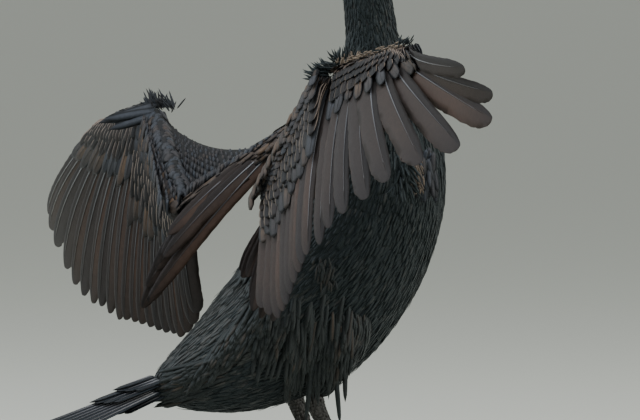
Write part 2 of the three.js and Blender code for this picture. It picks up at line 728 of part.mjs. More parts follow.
for (const leg of LEGS) {
  addNode(`thigh_${leg.name}`, 'plumage', thigh(leg, torsoCutter));
  const [x, y, z] = leg.knee;
  const thighCutter = toSolid(loft([
    [x - 6, y * 0.75, z + 30, 20, 34, 34],
    [x, y, z, 20, 32, 32],
    [mix(x, leg.ankle[0], 0.5), mix(y, leg.ankle[1], 0.5), mix(z, leg.ankle[2], 0.5), 15, 22, 22],
    [leg.ankle[0], leg.ankle[1], leg.ankle[2] + 6, 9, 11, 11],
  ], { around: 14, along: 11, startRound: 0.2, endRound: 0.08, grow: GAP }));
  const shank = (grow) => toSolid(loft(shankStations(leg), { around: 10, along: 9, startRound: 0.1, endRound: 0.1, grow }));
  const footSolid = carve(foot(leg), [shank(GAP)]);
  addNode(`shank_${leg.name}`, 'leg', carve(shank(0), [thighCutter, torsoCutter]));
  addNode(`foot_${leg.name}`, 'leg', footSolid);
  TOES.forEach((toe, k) => {
    addNode(`claw_${leg.name}_${k + 1}`, 'claw', claw(leg, toe));
  });
}

const tail = carve(fuse(tailPieces()), [torsoCutter]);
addNode('tail', 'tail', tail);

for (const [name, wing] of Object.entries(WINGS)) {
  const handCutter = fuse(handPieces(wing, GAP));
  const forearmCutter = fuse(forearmPieces(wing, GAP));
  addNode(`wing_${name}_hand`, 'wing', fuse(handPieces(wing)));
  addNode(`wing_${name}_forearm`, 'wing', carve(fuse(forearmPieces(wing)), [handCutter, torsoCutter]));
  addNode(`wing_${name}_upper_arm`, 'wing', carve(fuse(upperArmPieces(wing)), [torsoCutter, forearmCutter]));
}

// Origin at the bottom centre of the whole bird
const bounds = new THREE.Box3().setFromObject(bird);
const shift = vec(-(bounds.min.x + bounds.max.x) / 2, -(bounds.min.y + bounds.max.y) / 2, -bounds.min.z);
for (const mesh of bird.children) mesh.geometry.translate(shift.x, shift.y, shift.z);

export default bird;
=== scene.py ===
import math

import bmesh
import bpy
import numpy as np
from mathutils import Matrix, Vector


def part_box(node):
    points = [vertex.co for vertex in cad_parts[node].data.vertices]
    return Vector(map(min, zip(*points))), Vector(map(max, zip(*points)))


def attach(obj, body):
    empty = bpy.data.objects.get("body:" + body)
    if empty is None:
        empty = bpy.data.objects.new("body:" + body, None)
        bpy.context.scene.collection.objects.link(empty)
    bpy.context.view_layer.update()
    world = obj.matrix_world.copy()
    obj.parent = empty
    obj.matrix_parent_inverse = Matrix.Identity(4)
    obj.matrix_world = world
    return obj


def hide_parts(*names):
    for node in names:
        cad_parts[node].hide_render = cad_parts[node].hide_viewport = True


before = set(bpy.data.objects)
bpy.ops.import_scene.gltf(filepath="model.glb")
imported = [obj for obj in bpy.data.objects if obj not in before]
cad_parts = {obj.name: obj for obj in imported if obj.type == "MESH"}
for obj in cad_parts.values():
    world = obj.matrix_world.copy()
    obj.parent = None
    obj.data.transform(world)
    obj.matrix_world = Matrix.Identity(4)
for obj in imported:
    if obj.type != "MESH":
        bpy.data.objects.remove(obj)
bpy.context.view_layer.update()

rng = np.random.default_rng(11)

# Sizes are in millimetres in the bird's own frame: X towards the breast, Y to its left, floor at zero.
EYE_RADIUS = 4.6
EYE_PLACE = np.array([108.0, 14.2, 554.0])
BILL_START = 128.0
BILL_LENGTH = 64.3
TOE_THICKNESS = 7.0
COAT_DEPTH = 2.2
VANE_TILT = 0.2
EDGE_SAG = 36.0
VIEW_TURN = math.radians(-25)
VIEW_RISE = math.radians(2)

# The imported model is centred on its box, so the left eye tells how far the bird's frame was moved
eye_low, eye_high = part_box("eye_left")
SHIFT = (np.array(eye_low) + np.array(eye_high)) / 2 * 1000 - EYE_PLACE


def metres(points):
    """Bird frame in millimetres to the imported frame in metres."""
    return (np.asarray(points, float) + SHIFT) / 1000


def unit(v):
    return v / np.maximum(np.linalg.norm(v, axis=-1, keepdims=True), 1e-9)


def square_to(v, axis):
    """Unit vector of the part of v that is square to the axis."""
    return unit(v - axis * np.sum(v * axis, axis=-1, keepdims=True))


def turned_to(v, side):
    """The vector, turned over where it points away from the side."""
    return v * np.where(np.sum(v * side, axis=-1) < 0, -1.0, 1.0)[..., None]


def srgb(code):
    """Linear colour from an sRGB hex value."""
    parts = [int(code[i:i + 2], 16) / 255 for i in (1, 3, 5)]
    return [c / 12.92 if c <= 0.04045 else ((c + 0.055) / 1.055) ** 2.4 for c in parts] + [1.0]


def curve_at(points, t):
    """Smooth curve through the points, t from 0 to 1."""
    p = np.asarray(points, float)
    p = np.vstack([2 * p[0] - p[1], p, 2 * p[-1] - p[-2]])
    spans = len(p) - 3
    x = np.clip(np.asarray(t, float), 0, 1) * spans
    i = np.minimum(x.astype(int), spans - 1)
    f = (x - i)[..., None]
    a, b, c, d = p[i], p[i + 1], p[i + 2], p[i + 3]
    bend = (2 * a - 5 * b + 4 * c - d) * f**2 + (3 * b - a - 3 * c + d) * f**3
    return 0.5 * (2 * b + (c - a) * f + bend)


def round_off(distance, reach):
    inside = np.clip(distance / reach, 0, 1)
    return np.sqrt(1 - (1 - inside) ** 2)


class Limb:
    """Rounded form round a spine. A station is x, y, z, half width, height above, depth below."""

    def __init__(self, stations, start_round=0.1, end_round=0.1, sideways=(0, 1, 0), shrink=0.0):
        self.stations = np.asarray(stations, float)
        self.start_round = start_round
        self.end_round = end_round
        self.sideways = np.array(sideways, float)
        self.shrink = shrink

    def surface(self, t, angle):
        """Point of the surface at t along the spine and at an angle round it."""
        spine = self.stations[:, :3]
        centre = curve_at(spine, t)
        tangent = unit(curve_at(spine, np.clip(t + 0.01, 0, 1)) - curve_at(spine, np.clip(t - 0.01, 0, 1)))
        side = unit(self.sideways - tangent * (tangent @ self.sideways)[..., None])
        radii = curve_at(self.stations[:, 3:], t)
        cap = np.minimum(round_off(t, self.start_round), round_off(1 - t, self.end_round))
        height = np.where(np.sin(angle) > 0, radii[..., 1], radii[..., 2])
        wide = np.maximum(radii[..., 0] - self.shrink, 0.3) * cap * np.cos(angle)
        high = np.maximum(height - self.shrink, 0.3) * cap * np.sin(angle)
        return centre + side * wide[..., None] + np.cross(tangent, side) * high[..., None]

    def lie(self, t, angle):
        """Point, outward normal and tangent of the surface."""
        point = self.surface(t, angle)
        ahead = self.surface(np.clip(t + 0.01, 0, 1), angle)
        along = unit(ahead - self.surface(np.clip(t - 0.01, 0, 1), angle))
        around = unit(self.surface(t, angle + 0.03) - self.surface(t, angle - 0.03))
        outward = point - curve_at(self.stations[:, :3], t)
        return point, turned_to(unit(np.cross(around, along)), outward), along


# Pieces

def place_piece(name, mesh, material, nodes=()):
    piece = bpy.data.objects.new(name, mesh)
    bpy.context.scene.collection.objects.link(piece)
    piece.data.materials.append(material)
    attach(piece, "root")
    if nodes:
        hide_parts(*nodes)


def smooth(mesh):
    mesh.polygons.foreach_set("use_smooth", np.ones(len(mesh.polygons), bool))
    mesh.update()
    return mesh


def ball_places(verts):
    """Place along a ball's axis from 0 to 1, angle round it, and which vertices are poles."""
    co = np.array([v.co for v in verts])
    pole = np.abs(co[:, 2]) > 0.99999
    along = np.where(pole, co[:, 2] > 0, 1 - np.arccos(np.clip(co[:, 2], -1, 1)) / math.pi)
    return along, np.arctan2(co[:, 1], co[:, 0]), pole


def limb_bmesh(limb, around, along, bm=None):
    """A ball whose rings are laid along the limb's spine."""
    bm = bm or bmesh.new()
    ball = bmesh.ops.create_uvsphere(bm, u_segments=around, v_segments=along, radius=1)["verts"]
    t, angle, _ = ball_places(ball)
    for vert, point in zip(ball, metres(limb.surface(t, angle))):
        vert.co = point
    return bm


def finish_bmesh(bm, name):
    bmesh.ops.recalc_face_normals(bm, faces=bm.faces)
    mesh = bpy.data.meshes.new(name)
    bm.to_mesh(mesh)
    bm.free()
    return smooth(mesh)


class Template:
    """A small closed blank, from a ball with few sides, that every feather of one kind is bent from."""

    def __init__(self, around, along):
        bm = bmesh.new()
        bmesh.ops.create_uvsphere(bm, u_segments=around, v_segments=along, radius=1)
        bm.verts.ensure_lookup_table()
        self.along, angle, pole = ball_places(bm.verts)
        self.across = np.where(pole, 0.0, np.cos(angle))
        self.above = np.where(pole, 0.0, np.sin(angle))
        self.loops = np.array([v.index for f in bm.faces for v in f.verts])
        sizes = np.array([len(f.verts) for f in bm.faces])
        self.starts = np.concatenate([[0], np.cumsum(sizes)[:-1]])
        bm.free()


TUFT = Template(3, 4)
SCALE = Template(4, 6)
COVERT = Template(8, 12)
QUILL = Template(10, 44)
QUILL.along = 0.5 - 0.5 * np.cos(QUILL.along * math.pi)
SHAFT = Template(5, 10)


def joined_mesh(name, template, points, tint, bake_root, bake_size):
    """One mesh of many bent blanks. points is feathers x blank vertices x 3, in the bird's frame."""
    count, size = points.shape[:2]
    shift = np.arange(count)[:, None]
    loops = (template.loops[None] + shift * size).ravel()
    starts = (template.starts[None] + shift * len(template.loops)).ravel()
    mesh = bpy.data.meshes.new(name)
    mesh.vertices.add(count * size)
    mesh.vertices.foreach_set("co", metres(points).astype(np.float32).ravel())
    mesh.loops.add(len(loops))
    mesh.loops.foreach_set("vertex_index", loops.astype(np.int32))
    mesh.polygons.add(len(starts))
    mesh.polygons.foreach_set("loop_start", starts.astype(np.int32))
    mesh.update(calc_edges=True)
    local = np.stack([template.across * 0.5 + 0.5, template.along], axis=1)
    vane = np.broadcast_to(local[None], (count, size, 2)).reshape(-1, 2)
    mesh.uv_layers.new(name="Vane").data.foreach_set("uv", vane[loops].astype(np.float32).ravel())
    patch = (bake_root[:, None] + (local[None] - 0.5) * bake_size).reshape(-1, 2)
    mesh.uv_layers.new(name="OFBake").data.foreach_set("uv", patch[loops].astype(np.float32).ravel())
    shade = mesh.attributes.new("tint", "FLOAT", "POINT")
    shade.data.foreach_set("value", np.repeat(tint, size).astype(np.float32))
    return smooth(mesh)


def lay_tufts(template, root, direction, normal, length, width, form):
    """Bends the blank into a tuft or small feather that lies along the body."""
    side = unit(np.cross(direction, normal))
    s = template.along[None, :, None]
    lens = (s ** form["base"]) * ((1 - s) ** form["point"])
    lens = lens / lens.max()
    reach = length[:, None, None]
    points = root[:, None] + direction[:, None] * s * reach
    points = points + side[:, None] * template.across[None, :, None] * width[:, None, None] * lens
    dome = (1 - template.across[None, :, None] ** 2) * width[:, None, None] * form["dome"] * lens
    above = template.above[None, :, None] * form["thickness"] * lens
    lift = form["lift"] * reach * s + form["curl"] * reach * s**2
    lift = lift + np.reshape(form.get("arch", 0.0), (-1, 1, 1)) * 4 * s * (1 - s)
    return points + normal[:, None] * (dome + above + lift)


# Body forms

TORSO = Limb([
    [-150, 0, 76, 16, 8, 10], [-118, 0, 88, 36, 24, 38], [-70, 0, 112, 52, 42, 64],
    [-20, 0, 148, 62, 56, 84], [24, 0, 192, 66, 62, 82], [52, 0, 240, 64, 64, 73],
    [64, 0, 284, 56, 54, 60], [64, 0, 322, 44, 40, 44], [60, 0, 352, 31, 28, 31],
], 0.06, 0.05, shrink=COAT_DEPTH)
NECK = Limb([
    [63, 0, 312, 40, 36, 41], [62, 0, 334, 35, 31, 35.5], [60, 0, 352, 29.5, 26.5, 29.5],
    [57, 0, 368, 25.5, 23.5, 26.5], [56, 0, 384, 23.5, 22.5, 24.5], [52, 0, 416, 22, 21, 23],
    [50, 0, 448, 21, 20, 22], [52, 0, 480, 20, 19, 21], [59, 0, 508, 18.6, 17.6, 19.6],
    [70, 0, 528, 16.8, 15.8, 17.6], [86, 0, 541, 12, 11, 12],
], 0.06, 0.06, shrink=1.4)
HEAD = Limb([
    [62, 0, 533, 15, 13, 15], [76, 0, 541, 18, 17, 18], [92, 0, 548, 19, 19, 18],
    [108, 0, 550, 17.5, 16.5, 16], [122, 0, 549, 13.5, 11.5, 14], [134, 0, 547, 9.5, 7.5, 11],
], 0.2, 0.12, shrink=1.6)
LEGS = [
    {"side": 1, "name": "left", "knee": (6, 44, 126), "ankle": (2, 40, 64), "foot": (22, 40)},
    {"side": -1, "name": "right", "knee": (6, -44, 124), "ankle": (-14, -38, 62), "foot": (8, -38)},
]
TOES = [(-0.42, 88), (0.0, 78), (0.4, 62), (2.2, 38)]


def between(a, b, t):
    return a + (b - a) * t


def thigh_limb(leg):
    (x, y, z), (ax, ay, az) = leg["knee"], leg["ankle"]
    return Limb([
        [x - 6, y * 0.75, z + 30, 20, 34, 34], [x, y, z, 20, 32, 32],
        [between(x, ax, 0.5), between(y, ay, 0.5), between(z, az, 0.5), 15, 22, 22],
        [ax, ay, az + 6, 9, 11, 11],
    ], 0.2, 0.08, shrink=3)


def shank_limb(leg):
    (ax, ay, az), (fx, fy) = leg["ankle"], leg["foot"]
    return Limb([
        [ax + 1, ay, az + 8, 6.6, 7.5, 7.5], [ax, ay, az - 2, 6.4, 8, 7.5],
        [between(ax, fx, 0.4), ay, between(az, 12, 0.4), 4.6, 6.4, 6.4],
        [between(ax, fx, 0.8), fy, between(az, 12, 0.8), 4.8, 6.2, 6.4], [fx, fy, 6, 6, 7, 5.5],
    ])


# Materials

def new_material(name):
    material = bpy.data.materials.new(name)
    material.use_nodes = True
    tree = material.node_tree
    return material, tree, tree.nodes["Principled BSDF"]


FACTOR, FIRST, SECOND, MIXED = 0, 6, 7, 2  # sockets of a Mix node that mixes colours
BLEND = {"data_type": "RGBA", "blend_type": "MIX"}
SHADE = {"data_type": "RGBA", "blend_type": "MULTIPLY"}
MOTTLE_MM = 3.85
BLOTCH_MM = 11.1
STREAK_MM = (16.7, 2.38, 2.38)
IRIS_RAY_MM = 1.11
BARB_SLANT = 0.35


def add(tree, kind, inputs=None, out=0, stops=(), **settings):
    """Adds a node with its settings and stops, fills inputs with values or links, and gives one output."""
    node = tree.nodes.new("ShaderNode" + kind)
    for key, value in settings.items():
        setattr(node, key, value)
    for key, value in (inputs or {}).items():
        if isinstance(value, bpy.types.NodeSocket):
            tree.links.new(value, node.inputs[key])
        else:
            node.inputs[key].default_value = value
    for k, (place, colour) in enumerate(stops):
        elements = node.color_ramp.elements
        element = elements[-1] if k == len(stops) - 1 else elements[0] if k == 0 else elements.new(place)
        element.position = place
        element.color = colour
    return node.outputs[out]


def grey(value):
    return [value, value, value, 1.0]


def feather_material(name, look):
    """Keratin vane with a low gloss from its oil. Barbs run out from the shaft at a slant. Real ones stand
    about half a millimetre apart, and are drawn as fewer, coarser bands so that they show."""
    material, tree, shader = new_material(name)
    across = add(tree, "SeparateXYZ", {0: add(tree, "UVMap", uv_map="Vane")})
    along = across.node.outputs["Y"]
    tint = add(tree, "Attribute", out="Fac", attribute_name="tint")
    off_middle = add(tree, "Math", {0: across, 1: 0.5}, operation="SUBTRACT")
    off_shaft = add(tree, "Math", {0: off_middle}, operation="ABSOLUTE")
    base = add(tree, "ValToRGB", {0: tint}, stops=[(0.0, srgb(look["dull"])), (0.5, srgb(look["mid"])),
                                                   (1.0, srgb(look["warm"]))])
    rim = look["rim"]
    edge = add(tree, "ValToRGB", {0: off_shaft}, stops=[(rim, grey(0.0)), (min(rim + 0.09, 0.5), grey(1.0))])
    tip = add(tree, "ValToRGB", {0: along}, stops=[(look["tip_start"], grey(0.0)), (1.0, grey(1.0))])
    zones = [(edge, 1.0, "edge"), (tip, look["tip_share"], "tip")]
    if "outer" in look:
        outer = add(tree, "ValToRGB", {0: across}, stops=[(0.5, grey(0.0)), (0.56, grey(1.0))])
        zones.insert(1, (outer, 0.75, "outer"))
    colour = base
    for zone, share, key in zones:
        part = add(tree, "Math", {0: zone, 1: share}, operation="MULTIPLY")
        colour = add(tree, "Mix", {FACTOR: part, FIRST: colour, SECOND: srgb(look[key])}, MIXED, **BLEND)
    bands = add(tree, "Math", {0: along, 1: look["barbs"]}, operation="MULTIPLY")
    slant = add(tree, "Math", {0: off_shaft, 1: look["barbs"] * BARB_SLANT}, operation="MULTIPLY")
    turns = add(tree, "Math", {0: add(tree, "Math", {0: bands, 1: slant}, operation="SUBTRACT"), 1: math.tau},
                operation="MULTIPLY")
    wave = add(tree, "Math", {0: turns}, operation="SINE")
    place = add(tree, "TexCoord", out="Object")
    spread = add(tree, "TexNoise", {"Vector": place, "Scale": 1000.0 / MOTTLE_MM, "Detail": 2.0})
    mottle = add(tree, "ValToRGB", {0: spread}, stops=[(0.3, grey(0.82)), (0.7, grey(1.12))])
    colour = add(tree, "Mix", {FACTOR: 1.0, FIRST: colour, SECOND: mottle}, MIXED, **SHADE)
    ribs = add(tree, "Math", {0: wave, 1: 0.05, 2: 0.97}, operation="MULTIPLY_ADD")
    rib_colour = add(tree, "CombineColor", {0: ribs, 1: ribs, 2: ribs})
    colour = add(tree, "Mix", {FACTOR: 1.0, FIRST: colour, SECOND: rib_colour}, MIXED, **SHADE)
    tree.links.new(colour, shader.inputs["Base Color"])
    bump = add(tree, "Bump", {"Strength": 0.25, "Distance": 0.0002, "Height": wave})
    tree.links.new(bump, shader.inputs["Normal"])
    shader.inputs["Roughness"].default_value = look["roughness"]
    shader.inputs["Specular IOR Level"].default_value = look["specular"]
    shader.inputs["Specular Tint"].default_value = srgb(look["gloss"])
    shader.inputs["Sheen Weight"].default_value = look["sheen"]
    shader.inputs["Sheen Tint"].default_value = srgb(look["gloss"])
    return material


def skin_material(name, colours, cell_mm, roughness, depth=0.0004):
    """Bare or thinly covered skin, pebbled like fine leather."""
    material, tree, shader = new_material(name)
    place = add(tree, "TexCoord", out="Object")
    noise = add(tree, "TexNoise", {"Vector": place, "Scale": 1000.0 / BLOTCH_MM, "Detail": 5.0})
    cells = add(tree, "TexVoronoi", {"Vector": place, "Scale": 1000.0 / cell_mm}, "Distance",
                feature="DISTANCE_TO_EDGE")
    base = add(tree, "ValToRGB", {0: noise}, stops=[(0.3, srgb(colours[0])), (0.7, srgb(colours[1]))])
    # The crease lines between the pebbles are darkened as painted shade, on top of their bump.
    crease_shade = add(tree, "ValToRGB", {0: cells}, stops=[(0.0, grey(0.45)), (0.12, grey(1.0))])
    colour = add(tree, "Mix", {FACTOR: 1.0, FIRST: base, SECOND: crease_shade}, MIXED, **SHADE)
    tree.links.new(colour, shader.inputs["Base Color"])
    bump = add(tree, "Bump", {"Strength": 0.7, "Distance": depth, "Height": cells})
    tree.links.new(bump, shader.inputs["Normal"])
    shader.inputs["Roughness"].default_value = roughness
    return material


# Silky black body plumage with a faint cold shine
PLUMAGE = feather_material("body_plumage_keratin", {
    "dull": "#16191a", "mid": "#1b1f20", "warm": "#4a4844", "edge": "#151819", "rim": 0.36, "tip": "#2a3031",
    "tip_start": 0.5, "tip_share": 0.4, "barbs": 9.0, "roughness": 0.45, "specular": 0.5,
    "gloss": "#b5c9cc", "sheen": 0.06})
# Loose dark feathers of rump and flanks, browner and duller than the breast
FLANK = feather_material("flank_plumage_keratin", {
    "dull": "#212323", "mid": "#2c2d2c", "warm": "#4e4035", "edge": "#1e1f1f", "rim": 0.36, "tip": "#343634",
    "tip_start": 0.6, "tip_share": 0.45, "barbs": 10.0, "roughness": 0.5, "specular": 0.45,
    "gloss": "#b3c4c5", "sheen": 0.12})
# Grey-brown flight feathers, dark along the leading vane, worn pale at the rim
FLIGHT = feather_material("flight_feather_keratin", {
    "dull": "#2d2826", "mid": "#3a302a", "warm": "#4a392f", "edge": "#5c4a3e", "rim": 0.46,
    "outer": "#131211", "tip": "#1d1a19", "tip_start": 0.75, "tip_share": 0.7, "barbs": 120.0,
    "roughness": 0.55, "specular": 0.3, "gloss": "#cfd0d2", "sheen": 0.05})
# Wing coverts: bronze-grey scales, each with a blackish rim
COVERTS = feather_material("covert_feather_keratin", {
    "dull": "#3a3e44", "mid": "#433b35", "warm": "#64513f", "edge": "#131315", "rim": 0.3, "tip": "#121214",
    "tip_start": 0.7, "tip_share": 0.9, "barbs": 40.0, "roughness": 0.5, "specular": 0.4,
    "gloss": "#c0c8ce", "sheen": 0.06})
# Lifted coverts of wrist and hand: dark, with a thin pale rim where the light comes through
DARK_COVERTS = feather_material("lifted_covert_keratin", {
    "dull": "#141414", "mid": "#1c1917", "warm": "#2b231e", "edge": "#9a897a", "rim": 0.38, "tip": "#121213",
    "tip_start": 0.85, "tip_share": 0.7, "barbs": 40.0, "roughness": 0.5, "specular": 0.35,
    "gloss": "#c4c8cc", "sheen": 0.05})
# Pale down at the base of lifted feathers
DOWN = feather_material("pale_down", {
    "dull": "#4e4339", "mid": "#7d6e5d", "warm": "#b3a490", "edge": "#6a5c4d", "rim": 0.4, "tip": "#3f3730",
    "tip_start": 0.6, "tip_share": 0.6, "barbs": 8.0, "roughness": 0.8, "specular": 0.2,
    "gloss": "#d8d2c8", "sheen": 0.4})
# Stiff blue-black tail feathers
TAIL = feather_material("tail_feather_keratin", {
    "dull": "#15191c", "mid": "#1b2024", "warm": "#25282a", "edge": "#101315", "rim": 0.42,
    "outer": "#101418", "tip": "#2b2622", "tip_start": 0.85, "tip_share": 0.5, "barbs": 140.0,
    "roughness": 0.45, "specular": 0.45, "gloss": "#b4c4d0", "sheen": 0.05})


def shaft_material():
    """Feather shaft: smooth hard keratin that shines on top, with a painted pale blue-grey reflection towards
    its base that darkens to the shaft's own dark colour at the tip.
    """
    material, tree, shader = new_material("shaft_keratin_painted_reflection")
    along = add(tree, "SeparateXYZ", {0: add(tree, "UVMap", uv_map="Vane")}, "Y")
    tint = add(tree, "Attribute", out="Fac", attribute_name="tint")
    # Pale blue-grey at the base of the shaft is a painted reflection; the dark end is the shaft's own colour.
    colour = add(tree, "ValToRGB", {0: along},
                 stops=[(0.0, srgb("#7d8083")), (0.5, srgb("#55565a")), (1.0, srgb("#24211f"))])
    shade = add(tree, "ValToRGB", {0: tint}, stops=[(0.0, grey(0.6)), (1.0, grey(1.15))])
    colour = add(tree, "Mix", {FACTOR: 1.0, FIRST: colour, SECOND: shade}, MIXED, **SHADE)
    tree.links.new(colour, shader.inputs["Base Color"])
    shader.inputs["Roughness"].default_value = 0.22
    shader.inputs["Coat Weight"].default_value = 0.4
    shader.inputs["Coat Roughness"].default_value = 0.15
    return material


SHAFTS = shaft_material()
UNDERSKIN = skin_material("dark_skin", ("#0c0e0f", "#131515"), 3.0, 0.7)
LEG_SKIN = skin_material("scaly_leg_skin", ("#24221f", "#3a3733"), 2.6, 0.42, 0.0006)
WEB_SKIN = skin_material("web_skin", ("#1f1e1d", "#2f2c2a"), 1.4, 0.5)
FACE_SKIN = skin_material("bare_face_skin", ("#a8741f", "#c9962e"), 1.3, 0.45, 0.0003)
THROAT_SKIN = skin_material("throat_pouch_skin", ("#b98a34", "#d3ab58"), 1.6, 0.45, 0.0003)
LID_SKIN = skin_material("eyelid_skin", ("#2b3f4a", "#4b6670"), 0.9, 0.4, 0.0002)


def horn_material(name, dark, light, roughness):
    """Horn of bill and claws: dense keratin with fine lengthwise streaks and a dull polish."""
    material, tree, shader = new_material(name)
    place = add(tree, "TexCoord", out="Object")
    stretch = add(tree, "Mapping", {"Vector": place, "Scale": tuple(1000.0 / size for size in STREAK_MM)})
    streaks = add(tree, "TexNoise", {"Vector": stretch, "Scale": 1.0, "Detail": 6.0})
    colour = add(tree, "ValToRGB", {0: streaks}, stops=[(0.3, srgb(dark)), (0.72, srgb(light))])
    tree.links.new(colour, shader.inputs["Base Color"])
    bump = add(tree, "Bump", {"Strength": 0.2, "Distance": 0.0002, "Height": streaks})
    tree.links.new(bump, shader.inputs["Normal"])
    shader.inputs["Roughness"].default_value = roughness
    return material


RIDGE_HORN = horn_material("bill_ridge_horn", "#2c2924", "#5a5348", 0.32)
LOWER_HORN = horn_material("lower_bill_horn", "#6a5f4a", "#a08c62", 0.36)
SCUTE_HORN = horn_material("leg_scute_horn", "#2a2927", "#3e3c38", 0.5)
CLAW_HORN = horn_material("claw_horn", "#100f0e", "#25221f", 0.3)


def eye_material():
    """Wet eye: a black pupil in a jewel-green iris with a dark rim, under a clear tear film."""
    material, tree, shader = new_material("wet_eye")
    ring = add(tree, "Attribute", out="Fac", attribute_name="ring")
    place = add(tree, "TexCoord", out="Object")
    rays = add(tree, "TexNoise", {"Vector": place, "Scale": 1000.0 / IRIS_RAY_MM, "Detail": 3.0})
    iris = add(tree, "ValToRGB", {0: rays}, stops=[(0.3, srgb("#0e5a4a")), (0.7, srgb("#2b9c83"))])
    inner = add(tree, "ValToRGB", {0: ring}, stops=[(0.22, grey(0.0)), (0.25, grey(1.0))])
    outer = add(tree, "ValToRGB", {0: ring}, stops=[(0.5, grey(0.0)), (0.56, grey(1.0))])
    colour = add(tree, "Mix", {FACTOR: inner, FIRST: srgb("#020303"), SECOND: iris}, MIXED, **BLEND)
    colour = add(tree, "Mix", {FACTOR: outer, FIRST: colour, SECOND: srgb("#0a1412")}, MIXED, **BLEND)
    tree.links.new(colour, shader.inputs["Base Color"])
    shader.inputs["Roughness"].default_value = 0.05
    shader.inputs["Coat Weight"].default_value = 1.0
    shader.inputs["Coat Roughness"].default_value = 0.02
    return material


EYE = eye_material()


# Wings: shoulder, elbow, wrist and hand tip, then the curves that the feather tips follow
WINGS = {
    "right": {
        "shoulder": (40, -46, 316), "elbow": (-84, -100, 238), "wrist": (-78, -210, 348),
        "hand": (-61, -331, 374), "dorsal": (-0.91, 0.1, 0.4), "facing": (-0.55, -0.83, 0.05),
        # The tint of the small feathers is painted light: warm and bright on this near wing, cool blue-grey
        # on the far wing, though both have the same plumage.
        "twist": 0.6, "strips": 10, "painted_light_tint": 0.72,
        "widths": (7, 12, 19, 19, 14, 11), "arm_widths": (5, 10), "puff": 1.7,
        "primary": [(-124, -559, 364), (-98, -575, 332), (-114, -528, 299), (-140, -476, 277),
                    (-148, -424, 252), (-153, -378, 234), (-148, -334, 212)],
        "secondary": [(-147, -308, 203), (-143, -280, 184), (-136, -246, 164), (-128, -212, 146),
                      (-126, -172, 152)],
        "tertials": [(0.9, (-92, -112, 134)), (0.82, (-100, -102, 150)), (0.72, (-104, -90, 172)),
                     (0.55, (-98, -76, 180)), (0.36, (-92, -72, 164))],
    },
    "left": {
        "shoulder": (40, 46, 314), "elbow": (-75, 100, 230), "wrist": (-53, 220, 312),
        "hand": (-43, 344, 297), "dorsal": (-0.93, 0.1, 0.25), "facing": (-0.6, -0.8, 0.0),
        # Cool blue-grey tint of the far wing's small feathers: painted light.
        "twist": 0.3, "strips": 11, "painted_light_tint": 0.2,
        "widths": (6, 13), "arm_widths": (6, 12), "puff": 1.0,
        "primary": [(-4, 566, 207), (-6, 554, 186), (-14, 506, 160), (-26, 450, 142),
                    (-36, 394, 132), (-46, 342, 127), (-56, 290, 123)],
        "secondary": [(-61, 264, 121), (-57, 228, 119), (-55, 188, 115), (-55, 150, 113), (-56, 122, 134)],
        "tertials": [(0.92, (-112, 112, 138)), (0.8, (-108, 100, 160)), (0.62, (-104, 92, 184)),
                     (0.46, (-96, 84, 200)), (0.32, (-108, 92, 156))],
    },
}
for wing in WINGS.values():
    for key in ("shoulder", "elbow", "wrist", "hand", "dorsal", "facing"):
        wing[key] = np.array(wing[key], float)
    wing["dorsal"] = unit(wing["dorsal"])


FOLD_ELBOW = 0.62  # place of the elbow along the fold of skin, from wrist to shoulder


def leading_edge(wing, place):
    """Place on the free edge of the skin fold, which sags between wrist and shoulder."""
    sag = (EDGE_SAG * 4 * place * (1 - place))[..., None] * np.array([-0.25, 0, -1])
    return wing["wrist"] + (wing["shoulder"] - wing["wrist"]) * place[..., None] + sag


def tier_frame(wing, start, end, tips, place):
    """Root, flight feather tip, outward direction and upper normal at places along a wing section."""
    root = start + (end - start) * place[:, None]
    tip = curve_at(tips, place)
    direction = unit(tip - root)
    lead = curve_at(tips, np.clip(place - 0.05, 0, 1)) - curve_at(tips, np.clip(place + 0.05, 0, 1))
    lead = square_to(unit(lead), direction)
    twisted = turned_to(unit(np.cross(direction, wing["facing"])), lead)
    lead = unit(lead * (1 - wing["twist"]) + twisted * wing["twist"])
    return root, tip, lead, turned_to(np.cross(lead, direction), wing["dorsal"])


def vane_outline(s, bluntness, quill):
    base = np.clip(quill + s * 7, 0, 1)
    tip = np.sqrt(np.clip(1 - (np.clip(s - bluntness, 0, 1) / (1 - bluntness)) ** 2, 0, 1))
    return base * tip


def bend_feathers(template, root, tip, lead, normal, form):
    """Bends the blank into vanes that follow the arch of the flight feathers."""
    count = len(root)
    s = template.along[None, :, None]
    reach = form["reach"] * (1 + rng.normal(0, form.get("uneven", 0.02), count))[:, None, None]
    share = s * reach
    chord = tip - root
    length = np.linalg.norm(chord, axis=1)[:, None, None]
    arch = 4 * share * (1 - share) * length
    tilt = VANE_TILT * form.get("side", 1) + rng.normal(0, 0.03, count)
    across = lead * np.cos(tilt)[:, None] + normal * np.sin(tilt)[:, None]
    raised = form["raise"] * np.minimum(1, 0.6 + s)
    outline = vane_outline(s, form.get("blunt", 0.8), form.get("quill", 0.12))
    outline = outline * (1 - form.get("taper", 0.0) * np.clip((s - 0.35) / 0.65, 0, 1) ** 1.3)
    fray = 1 + rng.normal(0, form.get("fray", 0.02), (count, len(template.along)))[..., None]
    sideways = template.across[None, :, None]
    width = np.where(sideways > 0, form["outer"][:, None, None], form["inner"][:, None, None])
    spread = sideways * width * outline * fray
    cup = -(sideways**2) * width * outline * form.get("cup", 0.12)
    thick = template.above[None, :, None] * form["thickness"] * outline
    wave = np.sin(rng.uniform(0, 6.28, count)[:, None, None] + s * 5) * form.get("wander", 0.6)
    points = root[:, None] + chord[:, None] * share + across[:, None] * (spread + wave)
    return points + normal[:, None] * (arch * form["bow"] + raised + cup + thick)


